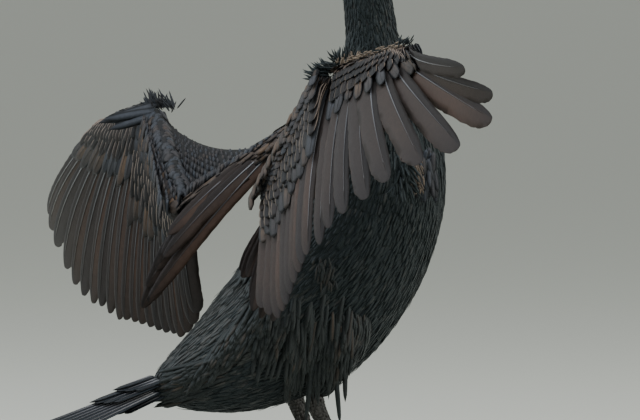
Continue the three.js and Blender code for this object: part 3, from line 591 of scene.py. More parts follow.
def shaft_points(root, tip, lead, normal, form):
    s = SHAFT.along[None, :, None]
    share = s * 0.95 * form["reach"]
    chord = tip - root
    length = np.linalg.norm(chord, axis=1)[:, None, None]
    ends = np.minimum(1, s * 20 + 0.2) * np.minimum(1, (1 - s) * 20)
    radius = form.get("shaft", 1.0) * (1.05 - 0.85 * s) * ends
    lift = 4 * share * (1 - share) * length * form["bow"] + form["raise"] * np.minimum(1, 0.6 + s) + 0.5
    points = root[:, None] + chord[:, None] * share + lead[:, None] * SHAFT.across[None, :, None] * radius
    return points + normal[:, None] * (lift + SHAFT.above[None, :, None] * radius)


class Heap:
    """Gathers bent feathers of one kind for one piece."""

    def __init__(self, template):
        self.template = template
        self.points = []
        self.tint = []
        self.bake = []
        self.rows = 0

    def put(self, points, tint, bake):
        self.points.append(points)
        self.tint.append(tint)
        self.bake.append(bake)

    def piece(self, name, material, slot, nodes=(), bake_size=0.003):
        mesh = joined_mesh(name, self.template, np.concatenate(self.points), np.concatenate(self.tint),
                           np.concatenate(self.bake), bake_size)
        place_piece(name, mesh, material, nodes)


def sheet_place(wing_row, column, rows=24):
    """Where a wing feather's patch lies on the unwrap: one row of the sheet for each tier."""
    u = 0.02 + 0.96 * column
    return np.stack([u, np.full_like(u, 0.02 + 0.96 * wing_row / rows)], axis=1)


def grow_tier(heap, shafts, wing, start, end, tips, count, form, row):
    place = np.clip(np.arange(count) / (count - 1) + rng.normal(0, 0.004, count), 0, 1)
    frame_here = tier_frame(wing, start, end, tips, place)
    inner = np.interp(place, np.linspace(0, 1, len(form["widths"]) - 1), form["widths"][1:])
    full = {**form, "outer": form["widths"][0] * np.ones(count), "inner": inner}
    vanes = bend_feathers(heap.template, *frame_here, full)
    heap.put(vanes, rng.uniform(0, 1, count), sheet_place(row, place))
    if shafts is not None:
        shafts.put(shaft_points(*frame_here, full), rng.uniform(0, 1, count), sheet_place(row + 0.4, place))


# Rows of coverts: number, share of the flight feather's length, height over it and vane widths.
# On the arm the number is what a row has more than there are secondaries.
HAND_ROWS = [(10, 0.34, 3.6, (4.5, 7)), (13, 0.22, 5.2, (4.5, 6)), (16, 0.14, 6.8, (4.5, 5.5)),
             (19, 0.08, 8, (4, 5))]
ARM_ROWS = [(1, 0.5, 3.6, (5, 9)), (3, 0.4, 5.4, (5, 8)), (4, 0.32, 7, (5.5, 7.5)), (6, 0.25, 8.6, (5.5, 7)),
            (8, 0.18, 11, (5, 6)), (11, 0.12, 13, (4.5, 5.5))]
UNDER_ROWS = [(14, 0.34, -3.4, (6, 8)), (16, 0.22, -5.5, (6, 7)), (18, 0.13, -8, (5.5, 6.5)),
              (20, 0.07, -10, (5, 6))]
PRIMARY_COUNT = 10
TERTIAL_COUNT = 10


def grow_tertials(shafts, wing):
    """Long inner feathers that leave the upper arm."""
    place = np.linspace(0, 1, TERTIAL_COUNT)
    at = np.interp(place, np.linspace(0, 1, len(wing["tertials"])), [t[0] for t in wing["tertials"]])
    root = wing["shoulder"] + (wing["elbow"] - wing["shoulder"]) * at[:, None]
    tip = curve_at([t[1] for t in wing["tertials"]], place) + rng.normal(0, 2, (TERTIAL_COUNT, 3))
    direction = unit(tip - root)
    lead = square_to(unit(wing["elbow"] - wing["shoulder"]), direction)
    lead = unit(lead + turned_to(unit(np.cross(direction, wing["facing"])), lead))
    ways = (root, tip, lead, turned_to(np.cross(lead, direction), wing["dorsal"]))
    ones = np.ones(TERTIAL_COUNT)
    form = {"reach": 1.0, "raise": 5.0, "bow": 0.06, "thickness": 0.35, "outer": ones * 6,
            "inner": ones * 8.5, "blunt": 0.76, "quill": 0.3, "shaft": 0.9}
    heap = Heap(QUILL)
    heap.put(bend_feathers(QUILL, *ways, form), rng.uniform(0.3, 1, TERTIAL_COUNT), sheet_place(22, at))
    shafts.put(shaft_points(*ways, form), rng.uniform(0, 0.6, TERTIAL_COUNT), sheet_place(22.4, at))
    return heap


def build_wing(name, wing):
    """All the feathers of one wing, tier by tier."""
    hand_axis = unit(wing["hand"] - wing["wrist"])
    arm_axis = unit(wing["elbow"] - wing["wrist"])
    arm_end = wing["elbow"] - arm_axis * 11
    hand = (wing, wing["hand"] - hand_axis * 4, wing["wrist"] + hand_axis * 16, wing["primary"])
    arm = (wing, wing["wrist"] + arm_axis * 8, arm_end, wing["secondary"])
    strips = wing["strips"]
    primaries, secondaries, shafts = Heap(QUILL), Heap(QUILL), Heap(SHAFT)
    coverts, ruffled, scales = Heap(COVERT), Heap(COVERT), Heap(SCALE)
    flight = {"reach": 1.0, "raise": 0.0, "bow": 0.05, "thickness": 0.35, "uneven": 0.006, "shaft": 1.15}
    grow_tier(primaries, shafts, *hand, PRIMARY_COUNT,
              {**flight, "widths": wing["widths"], "fray": 0.03, "blunt": 0.84, "taper": 0.12}, 0)
    grow_tier(secondaries, shafts, *arm, strips, {**flight, "widths": wing["arm_widths"], "blunt": 0.86}, 2)
    covert = {"bow": 0.05, "thickness": 0.3, "uneven": 0.05, "blunt": 0.7, "quill": 0.3, "cup": 0.18,
              "shaft": 0.55}
    for k, (count, reach, lift, widths) in enumerate(HAND_ROWS):
        form = {**covert, "reach": reach, "raise": lift, "widths": widths}
        grow_tier(ruffled if k else coverts, shafts if k < 2 else None, *hand, count, form, 4 + k)
    for k, (more, reach, lift, widths) in enumerate(ARM_ROWS):
        form = {**covert, "reach": reach, "raise": lift * wing["puff"], "widths": widths}
        heap = ruffled if 1 <= k <= 3 else coverts
        grow_tier(heap, shafts if k < 2 else None, *arm, strips + more, form, 8 + k)
    for k, (count, reach, lift, widths) in enumerate(UNDER_ROWS):
        form = {**covert, "reach": reach, "raise": lift, "widths": widths, "cup": -0.15}
        grow_tier(coverts, None, *hand, count, form, 14 + k)
        grow_tier(coverts, None, *arm, count + 4, form, 18 + k)
    tertials = grow_tertials(shafts, wing)

    lay_wing_scales(scales, wing, arm_end)
    limbs = wing_limbs(wing, hand_axis, arm_axis, arm_end)
    small = {"spacing": 4.6, "slant": 0.0, "length": 12, "width": 4.6}
    # The wing's tint of its small feathers is painted light.
    lay_limb_scales(scales, limbs[0], wing["primary"][::-1], {**small, "slant": 0.6}, wing["painted_light_tint"])
    lay_limb_scales(scales, limbs[1], wing["secondary"], small, wing["painted_light_tint"])
    inner_tips = [t[1] for t in wing["tertials"]][::-1]
    lay_limb_scales(scales, limbs[2], inner_tips, {**small, "spacing": 5.4, "length": 20, "width": 5.4}, 0.6)
    side = f"wing_{name}"
    primaries.piece(f"{side}_primaries", FLIGHT, "wing_feather", (f"{side}_hand",), 0.02)
    secondaries.piece(f"{side}_secondaries", FLIGHT, "wing_feather", (f"{side}_forearm",), 0.02)
    tertials.piece(f"{side}_tertials", FLIGHT, "wing_feather", (f"{side}_upper_arm",), 0.02)
    coverts.piece(f"{side}_coverts", COVERTS, "wing_feather", (), 0.012)
    ruffled.piece(f"{side}_ruffled_coverts", DARK_COVERTS, "wing_feather", (), 0.012)
    scales.piece(f"{side}_scales", COVERTS, "wing_feather", ())
    shafts.piece(f"{side}_shafts", SHAFTS, "wing_feather", (), 0.004)
    wing_flesh(side, wing, limbs, arm_end)


def wing_limbs(wing, hand_axis, arm_axis, arm_end):
    """Hand, forearm and upper arm under the small feathers."""
    spans = [
        (wing["wrist"] + hand_axis * 2, wing["hand"] - hand_axis * 6, [(5, 7), (5, 6), (4, 5), (3, 3)], 1),
        (wing["wrist"] + arm_axis * 2, arm_end, [(6, 7), (6, 8), (6, 8), (6, 8)], 1),
        (wing["shoulder"], wing["elbow"], [(10, 15), (8, 13), (7, 10), (5, 7)], 0),
    ]
    limbs = []
    for start, end, radii, lift in spans:
        stations = []
        for k, (thick, wide) in enumerate(radii):
            place = k / (len(radii) - 1)
            q = start + (end - start) * place + wing["dorsal"] * lift * 4 * place * (1 - place)
            stations.append([*q, thick, wide, wide])
        limbs.append(Limb(stations, 0.12, 0.12, wing["dorsal"]))
    return limbs


def wing_flesh(side, wing, limbs, arm_end):
    """Limbs and the fold of skin between them."""
    bm = bmesh.new()
    for limb in limbs:
        limb_bmesh(limb, 16, 16, bm)
    spans = ((0.04, FOLD_ELBOW, wing["wrist"], arm_end), (FOLD_ELBOW, 0.96, arm_end, wing["shoulder"]))
    for low, high, start, end in spans:
        grid = bmesh.ops.create_grid(bm, x_segments=14, y_segments=8, size=1)["verts"]
        co = np.array([v.co for v in grid]) * 0.5 + 0.5
        first = leading_edge(wing, low + (high - low) * co[:, 0])
        second = start + (end - start) * (0.04 + 0.9 * co[:, :1])
        for vert, point in zip(grid, metres(first + (second - first) * co[:, 1:2])):
            vert.co = point
        faces = list({f for v in grid for f in v.link_faces})
        bmesh.ops.solidify(bm, geom=faces, thickness=0.005)
    place_piece(f"{side}_flesh", finish_bmesh(bm, f"{side}_flesh"), UNDERSKIN)


def lay_limb_scales(scales, limb, tips, spec, shade):
    """Small feathers all round a wing limb, lying towards the tips of the flight feathers."""
    t, angle = coat_roots(limb, spec["spacing"], (0.03, 0.97))
    point, normal, along = limb.lie(t, angle)
    flow = unit(curve_at(tips, t) - point) + along * spec["slant"] + rng.normal(0, 0.08, point.shape)
    flow = unit(flow - normal * np.sum(flow * normal, axis=1, keepdims=True) * 0.85)
    count = len(t)
    form = {"base": 0.25, "point": 0.3, "dome": 0.18, "thickness": 0.35, "lift": 0.05, "curl": 0.0}
    length = rng.normal(spec["length"], 1.2, count)
    points = lay_tufts(SCALE, point, flow, normal, length, np.full(count, spec["width"]), form)
    scales.put(points, np.clip(shade + rng.normal(0, 0.13, count), 0, 1), sheet_place(3, t))


def lay_wing_scales(scales, wing, arm_end):
    """Small overlapping feathers over the skin fold, the forearm and the upper arm, on both faces."""
    rows, count = 14, 34
    form = {"base": 0.25, "point": 0.3, "dome": 0.2, "thickness": 0.35, "lift": 0.04, "curl": 0.0}
    for face in (1, -1):
        for k in range(rows):
            share = k / 11.5
            place = (np.arange(count) + 0.5 * (k % 2)) / count + rng.normal(0, 0.006, count)
            edge = leading_edge(wing, np.clip(place, 0.0, 0.98))
            on_arm = wing["wrist"] + (arm_end - wing["wrist"]) * np.clip(place / FOLD_ELBOW, 0, 1)[:, None]
            past = np.clip((place - FOLD_ELBOW) / (1 - FOLD_ELBOW), 0, 1)[:, None]
            on_upper = arm_end + (wing["shoulder"] - arm_end) * past
            bone = np.where((place > FOLD_ELBOW)[:, None], on_upper, on_arm)
            swell = 3.5 + 8 * wing["puff"] * math.sin(min(1.0, share * 1.05) * math.pi / 2) ** 2
            root = edge + (bone - edge) * share + wing["dorsal"] * face * swell
            tip = curve_at(wing["secondary"], np.clip(place / 0.7, 0, 1))
            direction = unit(unit(tip - bone) + rng.normal(0, 0.08, (count, 3)))
            normal = square_to(wing["dorsal"] * face, direction)
            length = rng.normal(12 + 5 * share, 1, count)
            points = lay_tufts(SCALE, root, direction, normal, length, np.full(count, 5.6), form)
            # Tint of the small feathers: painted light, warm on the near wing and cool blue-grey on the far
            # wing.
            shade = np.clip(wing["painted_light_tint"] + rng.normal(0, 0.13, count), 0, 1)
            scales.put(points, shade, sheet_place(1 + face * 0.5, place))


# Body coat

TUFTS_A_PIECE = 10500  # 18 triangles each, so that a piece of the coat stays under 200,000


def coat_roots(limb, spacing, t_range):
    """Even places over a limb, row by row, with a little unevenness."""
    ts, angles = [], []
    turn = np.linspace(0, 2 * math.pi, 24, endpoint=False)
    t = t_range[0]
    while t < t_range[1]:
        ring = limb.surface(np.full(24, t), turn)
        girth = np.linalg.norm(np.roll(ring, 1, axis=0) - ring, axis=1).sum()
        count = max(5, int(girth / spacing))
        ts.append(np.clip(t + rng.normal(0, 0.15, count) * spacing / 500, 0.001, 0.999))
        spots = np.arange(count) + rng.uniform(0, 1) + rng.normal(0, 0.2, count)
        angles.append(spots * 2 * math.pi / count)
        ahead = limb.surface(np.full(24, min(1.0, t + 0.01)), turn)
        step = np.linalg.norm(ahead - ring, axis=1).max() / 0.01
        t += spacing * 0.9 / max(step, 1e-6)
    return np.concatenate(ts), np.concatenate(angles) % (2 * math.pi)


def lay_coat(name, limb, spec, slot, material, tile):
    """Covers a limb with tufts, or with plates where the spec gives another blank."""
    template = spec.get("template", TUFT)
    t, angle = coat_roots(limb, spec["spacing"], spec["range"])
    point, normal, along = limb.lie(t, angle)
    if "keep" in spec:
        kept = spec["keep"](point)
        t, angle, point, normal, along = t[kept], angle[kept], point[kept], normal[kept], along[kept]
    count = len(t)
    size = spec["size"](point) if "size" in spec else 1.0
    length = spec["length"] * size * np.exp(rng.normal(0, 0.16, count))
    spine = limb.stations[:, :3]
    stretch = curve_at(spine, np.clip(t + 0.005, 0, 1)) - curve_at(spine, np.clip(t - 0.005, 0, 1))
    course = spec.get("course", -1)
    step = course * length / np.maximum(np.linalg.norm(stretch, axis=1) / 0.01, 1)
    downstream = limb.surface(np.clip(t + step, 0.002, 0.998), angle)
    midstream = limb.surface(np.clip(t + 0.5 * step, 0.002, 0.998), angle)
    sag = np.sum((midstream - (point + downstream) / 2) * normal, axis=1)
    reached = np.linalg.norm(downstream - point, axis=1, keepdims=True) > length[:, None] * 0.4
    flow = np.where(reached, unit(downstream - point), course * along)
    flow = unit(flow + rng.normal(0, spec["ruffle"], (count, 3)) * 0.8)
    normal = square_to(normal, flow)
    width = spec["width"] * size * np.exp(rng.normal(0, 0.12, count))
    form = {"base": 0.3, "point": 0.55, "dome": spec.get("dome", 0.12), "thickness": spec["width"] * 0.1,
            "lift": spec["lift"], "curl": spec.get("curl", -0.02), "arch": np.clip(sag, 0, 3) + 0.25}
    points = lay_tufts(template, point - normal * 0.4, flow, normal, length, width, form)
    low_u, low_v, size_u, size_v = tile
    bake = np.stack([low_u + size_u * angle / (2 * math.pi), low_v + size_v * t], axis=1)
    paler = 0.45 * np.clip(-point[:, 0] / 80, 0, 1) * np.clip((point[:, 2] - 60) / 50, 0, 1)
    pieces = 1 + count // TUFTS_A_PIECE
    for k in range(pieces):
        part = slice(k * count // pieces, (k + 1) * count // pieces)
        shade = rng.beta(2, 4, count) + paler
        heap = Heap(template)
        heap.put(points[part], shade[part], bake[part])
        heap.piece(f"{name}_{k + 1}" if pieces > 1 else name, material, slot)


def build_skin():
    """One skin under the coat of torso, neck, head and thighs."""
    bm = bmesh.new()
    limb_bmesh(TORSO, 48, 48, bm)
    limb_bmesh(NECK, 32, 48, bm)
    limb_bmesh(HEAD, 40, 40, bm)
    for leg in LEGS:
        limb_bmesh(thigh_limb(leg), 28, 28, bm)
    place_piece("body_skin", finish_bmesh(bm, "body_skin"), UNDERSKIN,
                ("torso", "neck_lower", "neck_upper", "head", "thigh_left", "thigh_right"))


build_skin()
lay_coat("torso_coat", TORSO, {
    "spacing": 2.75, "range": (0.01, 0.985), "ruffle": 0.06, "length": 14, "width": 1.75, "lift": 0.04,
    "dome": 0.06,
}, "plumage", PLUMAGE, (0.02, 0.02, 0.46, 0.6))
lay_coat("neck_coat", NECK, {
    "spacing": 2.2, "range": (0.06, 0.96), "ruffle": 0.07, "length": 9, "width": 1.35, "lift": 0.05,
    "dome": 0.08,
}, "plumage", PLUMAGE, (0.52, 0.02, 0.3, 0.5))
lay_coat("head_coat", HEAD, {
    "spacing": 1.6, "range": (0.03, 0.97), "ruffle": 0.1, "length": 6, "width": 1.0, "lift": 0.15,
    "keep": lambda p: ~((p[:, 0] + rng.normal(0, 0.9, len(p)) > 102)
                        & (p[:, 2] + rng.normal(0, 0.6, len(p)) < 559 - (p[:, 0] - 112) * 0.4))
    & (np.hypot(p[:, 0] - EYE_PLACE[0], p[:, 2] - EYE_PLACE[2]) > EYE_RADIUS + 2.0),
    "size": lambda p: np.clip(1.25 - (p[:, 0] - 70) / 90, 0.5, 1.2),
}, "plumage", PLUMAGE, (0.52, 0.55, 0.2, 0.2))
for leg in LEGS:
    lay_coat(f"thigh_{leg['name']}_coat", thigh_limb(leg), {
        "course": 1, "spacing": 2.8, "range": (0.0, 0.985), "ruffle": 0.08, "length": 14, "width": 1.8,
        "lift": 0.04, "dome": 0.06,
    }, "plumage", FLANK, (0.74 if leg["side"] > 0 else 0.87, 0.6, 0.12, 0.3))
for name, wing in WINGS.items():
    build_wing(name, wing)


# Loose groups of feathers, each given by root, tip and count

def on_view(across, up, near):
    """Place in the bird's frame from the picture's own plane and the depth towards the viewer."""
    side = np.array([math.cos(VIEW_TURN), math.sin(VIEW_TURN), 0.0])
    toward = np.array([math.sin(VIEW_TURN), -math.cos(VIEW_TURN), 0.0])
    return side * across + np.array([0, 0, 1.0]) * up + toward * near


def bunch(heap, start, end, toward, count, length, width, spread, shade,
          lift=0.08, scatter=0.0, dome=0.15):
    """Feathers whose roots lie between two places and whose tips point one way."""
    place = rng.uniform(0, 1, count)
    root = start + (end - start) * place[:, None] + rng.normal(0, 1.5, (count, 3))
    root = root - unit(np.asarray(toward, float)) * rng.uniform(-scatter, scatter, (count, 1))
    direction = unit(np.asarray(toward, float) + rng.normal(0, spread, (count, 3)))
    normal = np.array([math.sin(VIEW_TURN), -math.cos(VIEW_TURN), 0.35])
    normal = unit(normal - direction * (direction @ normal)[:, None])
    form = {"base": 0.3, "point": 0.45, "dome": dome, "thickness": 0.3, "lift": lift, "curl": -0.03}
    lengths = length * np.exp(rng.normal(0, 0.14, count))
    points = lay_tufts(heap.template, root, direction, normal, lengths, np.full(count, width), form)
    heap.put(points, np.clip(shade + rng.normal(0, 0.15, count), 0, 1), sheet_place(heap.rows, place))
    heap.rows += 1


def skin_towards_view():
    """Places on torso and near thigh, in the picture's plane, with their depth towards the viewer."""
    places = []
    for limb in (TORSO, thigh_limb(LEGS[1])):
        t, angle = np.meshgrid(np.linspace(0.01, 0.99, 160), np.linspace(0, 2 * math.pi, 180))
        surface = limb.surface(t.ravel(), angle.ravel())
        views = (surface @ on_view(1, 0, 0), surface[:, 2], surface @ on_view(0, 0, 1))
        places.append(np.stack(views, axis=1))
    return np.concatenate(places)


SKIN = skin_towards_view()


def on_skin(across, up):
    """Nearest point of the skin that the viewer sees at a place in the picture, or none past the contour."""
    close = np.hypot(SKIN[:, 0] - across, SKIN[:, 1] - up) < 3.5
    if not close.any():
        return None
    return on_view(across, up, SKIN[close, 2].max())


def flank_row(heap, start, end, aim, count, length):
    """Long feathers that lie down the flank and hang free past its edge."""
    lay = {"base": 0.3, "point": 0.42, "dome": 0.07, "thickness": 0.3, "lift": 0.03, "curl": 0.0}
    start, end, aim = np.array(start), np.array(end), np.array(aim)
    for place in rng.uniform(0, 1, count):
        spot = start + (end - start) * place - aim * rng.triangular(-9, -4, 34)
        turned = aim + rng.normal(0, 0.07, 2)
        root = on_skin(*spot)
        if root is None:
            continue
        reach = length * math.exp(rng.normal(0, 0.15))
        rest = on_skin(*(spot + turned * reach * 0.6))
        out = on_view(0, 0.2, 1)
        root = root - out * 1.8
        direction = unit(rest + out - root if rest is not None else on_view(*turned, -0.1))
        normal = unit(out - direction * (out @ direction))
        single = (root[None], direction[None], normal[None], np.array([reach]), np.array([2.2]))
        points = lay_tufts(SCALE, *single, lay)
        heap.put(points, np.clip(rng.normal(0.35, 0.2, 1), 0, 1), sheet_place(heap.rows, np.array([place])))
    heap.rows += 1


def loose_feathers():
    """Ragged edge of the flank, rump, wrist tufts and the hollow under the near wing."""
    flank, dark, down, grey_blue = Heap(SCALE), Heap(TUFT), Heap(TUFT), Heap(SCALE)
    rows = [
        ((-67, 130), (-36, 147), (-0.5, -0.86), 9, 40), ((-80, 118), (-43, 138), (-0.52, -0.85), 9, 42),
        ((-87, 107), (-49, 125), (-0.55, -0.83), 8, 42), ((-47, 140), (-19, 136), (-0.2, -1), 6, 38),
        ((-47, 126), (-21, 123), (-0.2, -1), 6, 38), ((-19, 138), (34, 132), (-0.08, -1), 11, 40),
        ((-20, 122), (34, 117), (-0.06, -1), 11, 42), ((-22, 108), (29, 103), (-0.04, -1), 10, 42),
        ((-97, 97), (-106, 66), (-0.93, -0.3), 10, 38), ((-86, 104), (-92, 76), (-0.9, -0.36), 9, 38),
        ((-43, 214), (-30, 196), (-0.42, -0.9), 8, 46), ((-48, 196), (-38, 176), (-0.46, -0.88), 8, 42),
    ]
    for start, end, aim, count, length in rows:
        flank_row(flank, start, end, aim, count * 6, length * 0.85)
    tufts = [
        (grey_blue, (-144, 313, -172), (-121, 311, -170), (-0.4, 0.9), 64, 14, 0.75, 0.35, 0.05),
        (grey_blue, (-137, 318, -168), (-136, 307, -166), (-0.94, -0.3), 6, 38, 4.4, 0.05, 0.0),
        (dark, (6, 344, 228), (24, 358, 228), (-0.8, 0.25), 60, 15, 1.1, 0.25, 0.3),
        (dark, (20, 358, 222), (37, 364, 226), (0.05, 1), 44, 14, 0.9, 0.4, 0.2),
        (down, (21, 356, 225), (38, 361, 229), (0.1, 1), 40, 8, 0.9, 0.35, 0.5),
        (dark, (73, 378, 326), (82, 379, 330), (0.5, 0.9), 24, 7, 0.7, 0.35, 0.1),
        (down, (30, 364, 236), (78, 378, 326), (0.97, 0.2), 56, 6, 0.8, 0.15, 0.35),
    ]
    for k in range(5):
        top = 276 - 6 * k
        tufts += [
            (down, (83, top, 62), (95, top - 2, 56), (0.1, -1), 16, 9, 0.9, 0.4, 0.1),
            (dark, (72, top + 4, 68), (84, top, 64), (0.15, -1), 14, 20, 1.5, 0.25, 0.2),
            (grey_blue, (93, top + 8, 56), (106, top + 3, 40), (0.02, -1), 6, 20, 2.6, 0.15, 0.0),
            (flank, (5, 188 - 4 * k, 63), (20, 184 - 4 * k, 63), (-0.1, -1), 8, 10, 1.0, 0.2, 0.6,
             0.0, 3, 0.05),
        ]
    for heap, start, end, toward, *amounts in tufts:
        bunch(heap, on_view(*start), on_view(*end), on_view(*toward, 0), *amounts)
    flank.piece("flank_feathers", FLANK, "plumage", (), 0.003)
    dark.piece("dark_tufts", PLUMAGE, "plumage", (), 0.003)
    down.piece("pale_tufts", DOWN, "plumage", (), 0.003)
    grey_blue.piece("grey_tufts", COVERTS, "plumage", (), 0.003)


loose_feathers()


# Tail

TAIL_ROOT = np.array([-146.0, 0, 78])
TAIL_DIRECTION = np.array([-0.95, 0, -0.31])
TAIL_UP = np.array([-0.31, 0, 0.95])


def build_tail():
    feathers, shafts = Heap(QUILL), Heap(SHAFT)
    rows = [(14, 150, 0, 46, 6.0), (7, 66, 8, 17, 7.5), (7, 58, -5, 17, 7.5), (7, 40, 11, 14, 8.0)]
    for row, (count, length, rise, spread, half) in enumerate(rows):
        place = np.linspace(-1, 1, count)
        stack = (1 - np.abs(place)) * (count - 1) * 0.7 + rise - 4
        root = TAIL_ROOT + np.stack([np.full(count, -2.0), place * 13, np.zeros(count)], axis=1)
        root = root + TAIL_UP * (stack * 0.8)[:, None]
        reach = length * (1 - 0.25 * place**2) * (1 + rng.normal(0, 0.015, count))
        tip = TAIL_ROOT + TAIL_DIRECTION * reach[:, None] + TAIL_UP * stack[:, None]
        tip = tip + np.stack([np.zeros(count), place * spread, np.zeros(count)], axis=1)
        lead = np.stack([np.zeros(count), np.where(place >= 0, 1.0, -1.0), np.zeros(count)], axis=1)
        normal = np.broadcast_to(TAIL_UP, lead.shape)
        form = {"reach": 1.0, "raise": 0.0, "bow": 0.0, "thickness": 0.4, "outer": np.full(count, half * 0.7),
                "inner": np.full(count, half), "blunt": 0.86, "quill": 0.35, "side": -0.3, "shaft": 1.3}
        feathers.put(bend_feathers(QUILL, root, tip, lead, normal, form), rng.uniform(0, 1, count),
                     sheet_place(row, place * 0.5 + 0.5, 8))
        shafts.put(shaft_points(root, tip, lead, normal, form), rng.uniform(0, 0.5, count),
                   sheet_place(row + 4, place * 0.5 + 0.5, 8))
    feathers.piece("tail_feathers", TAIL, "tail_feather", ("tail",), 0.02)
    shafts.piece("tail_shafts", SHAFTS, "tail_feather", (), 0.004)


build_tail()

# Head: eyes, lids, bare face, bill and throat

UPPER_BILL = Limb([
    [BILL_START - 6, 0, 547.5, 9.4, 6.8, 4], [BILL_START + 12, 0, 547, 6.6, 4.6, 3.4],
    [BILL_START + 32, 0, 546.4, 4.8, 3.2, 2.6], [BILL_START + 50, 0, 546, 4.0, 2.8, 2.2],
    [BILL_START + BILL_LENGTH - 6, 0, 545, 3.6, 3.0, 2.6],
    [BILL_START + BILL_LENGTH + 1, 0, 540.5, 2.2, 2.2, 2.2],
    [BILL_START + BILL_LENGTH, 0, 536.5, 0.9, 0.9, 0.9],
], 0.04, 0.05)
LOWER_BILL = Limb([
    [BILL_START - 6, 0, 541, 8.6, 3, 5.5], [BILL_START + 14, 0, 541, 6.0, 2.6, 4.0],
    [BILL_START + 34, 0, 541.6, 4.4, 2.2, 2.6], [BILL_START + 52, 0, 541.6, 3.4, 2.0, 2.2],
    [BILL_START + BILL_LENGTH - 6, 0, 541.4, 2.4, 1.4, 1.6],
], 0.04, 0.08)
THROAT = Limb([
    [96, 0, 540, 7, 4, 4], [106, 0, 536, 10.5, 6, 5.5], [118, 0, 534, 10.5, 6.5, 5.6],
    [132, 0, 535.5, 8, 5, 4], [148, 0, 537.5, 4.8, 3.4, 2.4],
], 0.12, 0.12)


def limb_piece(name, limb, around, along, material, nodes=()):
    place_piece(name, finish_bmesh(limb_bmesh(limb, around, along), name), material, nodes)


limb_piece("upper_bill_horn", UPPER_BILL, 28, 40, RIDGE_HORN, ("upper_bill",))
limb_piece("lower_bill_horn", LOWER_BILL, 24, 32, LOWER_HORN, ("lower_bill",))
limb_piece("throat_skin", THROAT, 24, 24, THROAT_SKIN, ("throat_pouch",))


def face_lines():
    """Nostril slits and the dark line of the gape, which runs on behind the bill."""
    for side, name in ((1, "left"), (-1, "right")):
        slit = [[BILL_START + x, side * y, 548.6 - 0.05 * x, 0.5, 0.45, 0.45]
                for x, y in ((4, 8.1), (6.5, 7.45), (9, 6.85), (11.5, 6.3))]
        limb_piece(f"nostril_{name}", Limb(slit, 0.2, 0.2), 8, 10, CLAW_HORN)
        gape = [[x, side * y, z, 0.8, 0.5, 0.5]
                for x, y, z in ((108, 16.6, 540.5), (114, 15.2, 541.6), (121, 12.9, 543), (129, 9.1, 544.2))]
        limb_piece(f"gape_{name}", Limb(gape, 0.2, 0.2), 8, 14, UNDERSKIN)


def build_face():
    """Bare skin from the bill to behind the eye: the front of the head's own form, a shade prouder."""
    proud = Limb(HEAD.stations, 0.2, 0.12, shrink=0.2)
    bm = limb_bmesh(proud, 48, 48)
    bmesh.ops.bisect_plane(bm, geom=bm.verts[:] + bm.edges[:] + bm.faces[:], clear_inner=True,
                           plane_co=metres([101, 0, 550]), plane_no=(1, 0, -0.12))
    bmesh.ops.bisect_plane(bm, geom=bm.verts[:] + bm.edges[:] + bm.faces[:], clear_outer=True,
                           plane_co=metres([112, 0, 559]), plane_no=(0.35, 0, 1))
    bmesh.ops.holes_fill(bm, edges=[e for e in bm.edges if e.is_boundary])
    place_piece("bare_face", finish_bmesh(bm, "bare_face"), FACE_SKIN)


build_face()
face_lines()


def build_eye(side, name):
    """Ball and two lids. The ring value of a vertex grows from the pupil outwards."""
    centre = EYE_PLACE * np.array([1, side, 1])
    bm = bmesh.new()
    ball = bmesh.ops.create_uvsphere(bm, u_segments=32, v_segments=24, radius=EYE_RADIUS / 1000)["verts"]
    ring_values = []
    for vert in ball:
        direction = vert.co.normalized()
        ring_values.append(math.acos(max(-1, min(1, direction.y * side))) / math.pi * 1.6)
        vert.co = vert.co + Vector(metres(centre))
    mesh = finish_bmesh(bm, f"eye_{name}_ball")
    mesh.attributes.new("ring", "FLOAT", "POINT").data.foreach_set("value", np.array(ring_values, np.float32))
    place_piece(f"eye_{name}_ball", mesh, EYE, (f"eye_{name}",))
    for upper, lid_name in ((1, "upper"), (-1, "lower")):
        turns = np.linspace(-0.1, 1.1, 9) * math.pi * upper
        stations = [[centre[0] + math.cos(a) * (EYE_RADIUS + 0.2), centre[1] + side * 1.4,
                     centre[2] + math.sin(a) * (EYE_RADIUS + 0.2) * 0.84, 1.3, 0.9, 0.9] for a in turns]
        lid = Limb(stations, 0.08, 0.08)
        limb_piece(f"eyelid_{name}_{lid_name}", lid, 10, 24, LID_SKIN)


build_eye(1, "left")
build_eye(-1, "right")


# Legs and feet

def on_floor(leg, turn, reach):
    """Place along a toe's line, from the foot outwards."""
    heading = -leg["side"] * turn
    return leg["foot"][0] + math.cos(heading) * reach, leg["foot"][1] + math.sin(heading) * reach


def toe_limb(leg, turn, length):
    """One toe, swollen at its joints and flat below."""
    stations = []
    for place in np.linspace(0, 1, 9):
        half = between(5.2, 3.1, place) * (1 + 0.14 * math.cos(place * math.pi * 6))
        high = TOE_THICKNESS * between(0.62, 0.42, place)
        over = TOE_THICKNESS * between(0.58, 0.4, place)
        stations.append([*on_floor(leg, turn, length * place), high, half, over, high - 0.2])
    return Limb(stations, 0.08, 0.08)


def claw_limb(leg, turn, length):
    """Hooked claw past the toe's end."""
    shape = [(-2.5, 3.2, 2.1), (1.0, 3.5, 2.2), (4.5, 3.5, 1.9), (8, 2.8, 1.2), (10.8, 1.1, 0.4)]
    return Limb([[*on_floor(leg, turn, length + past), high, r, r, r] for past, high, r in shape], 0.1, 0.05)


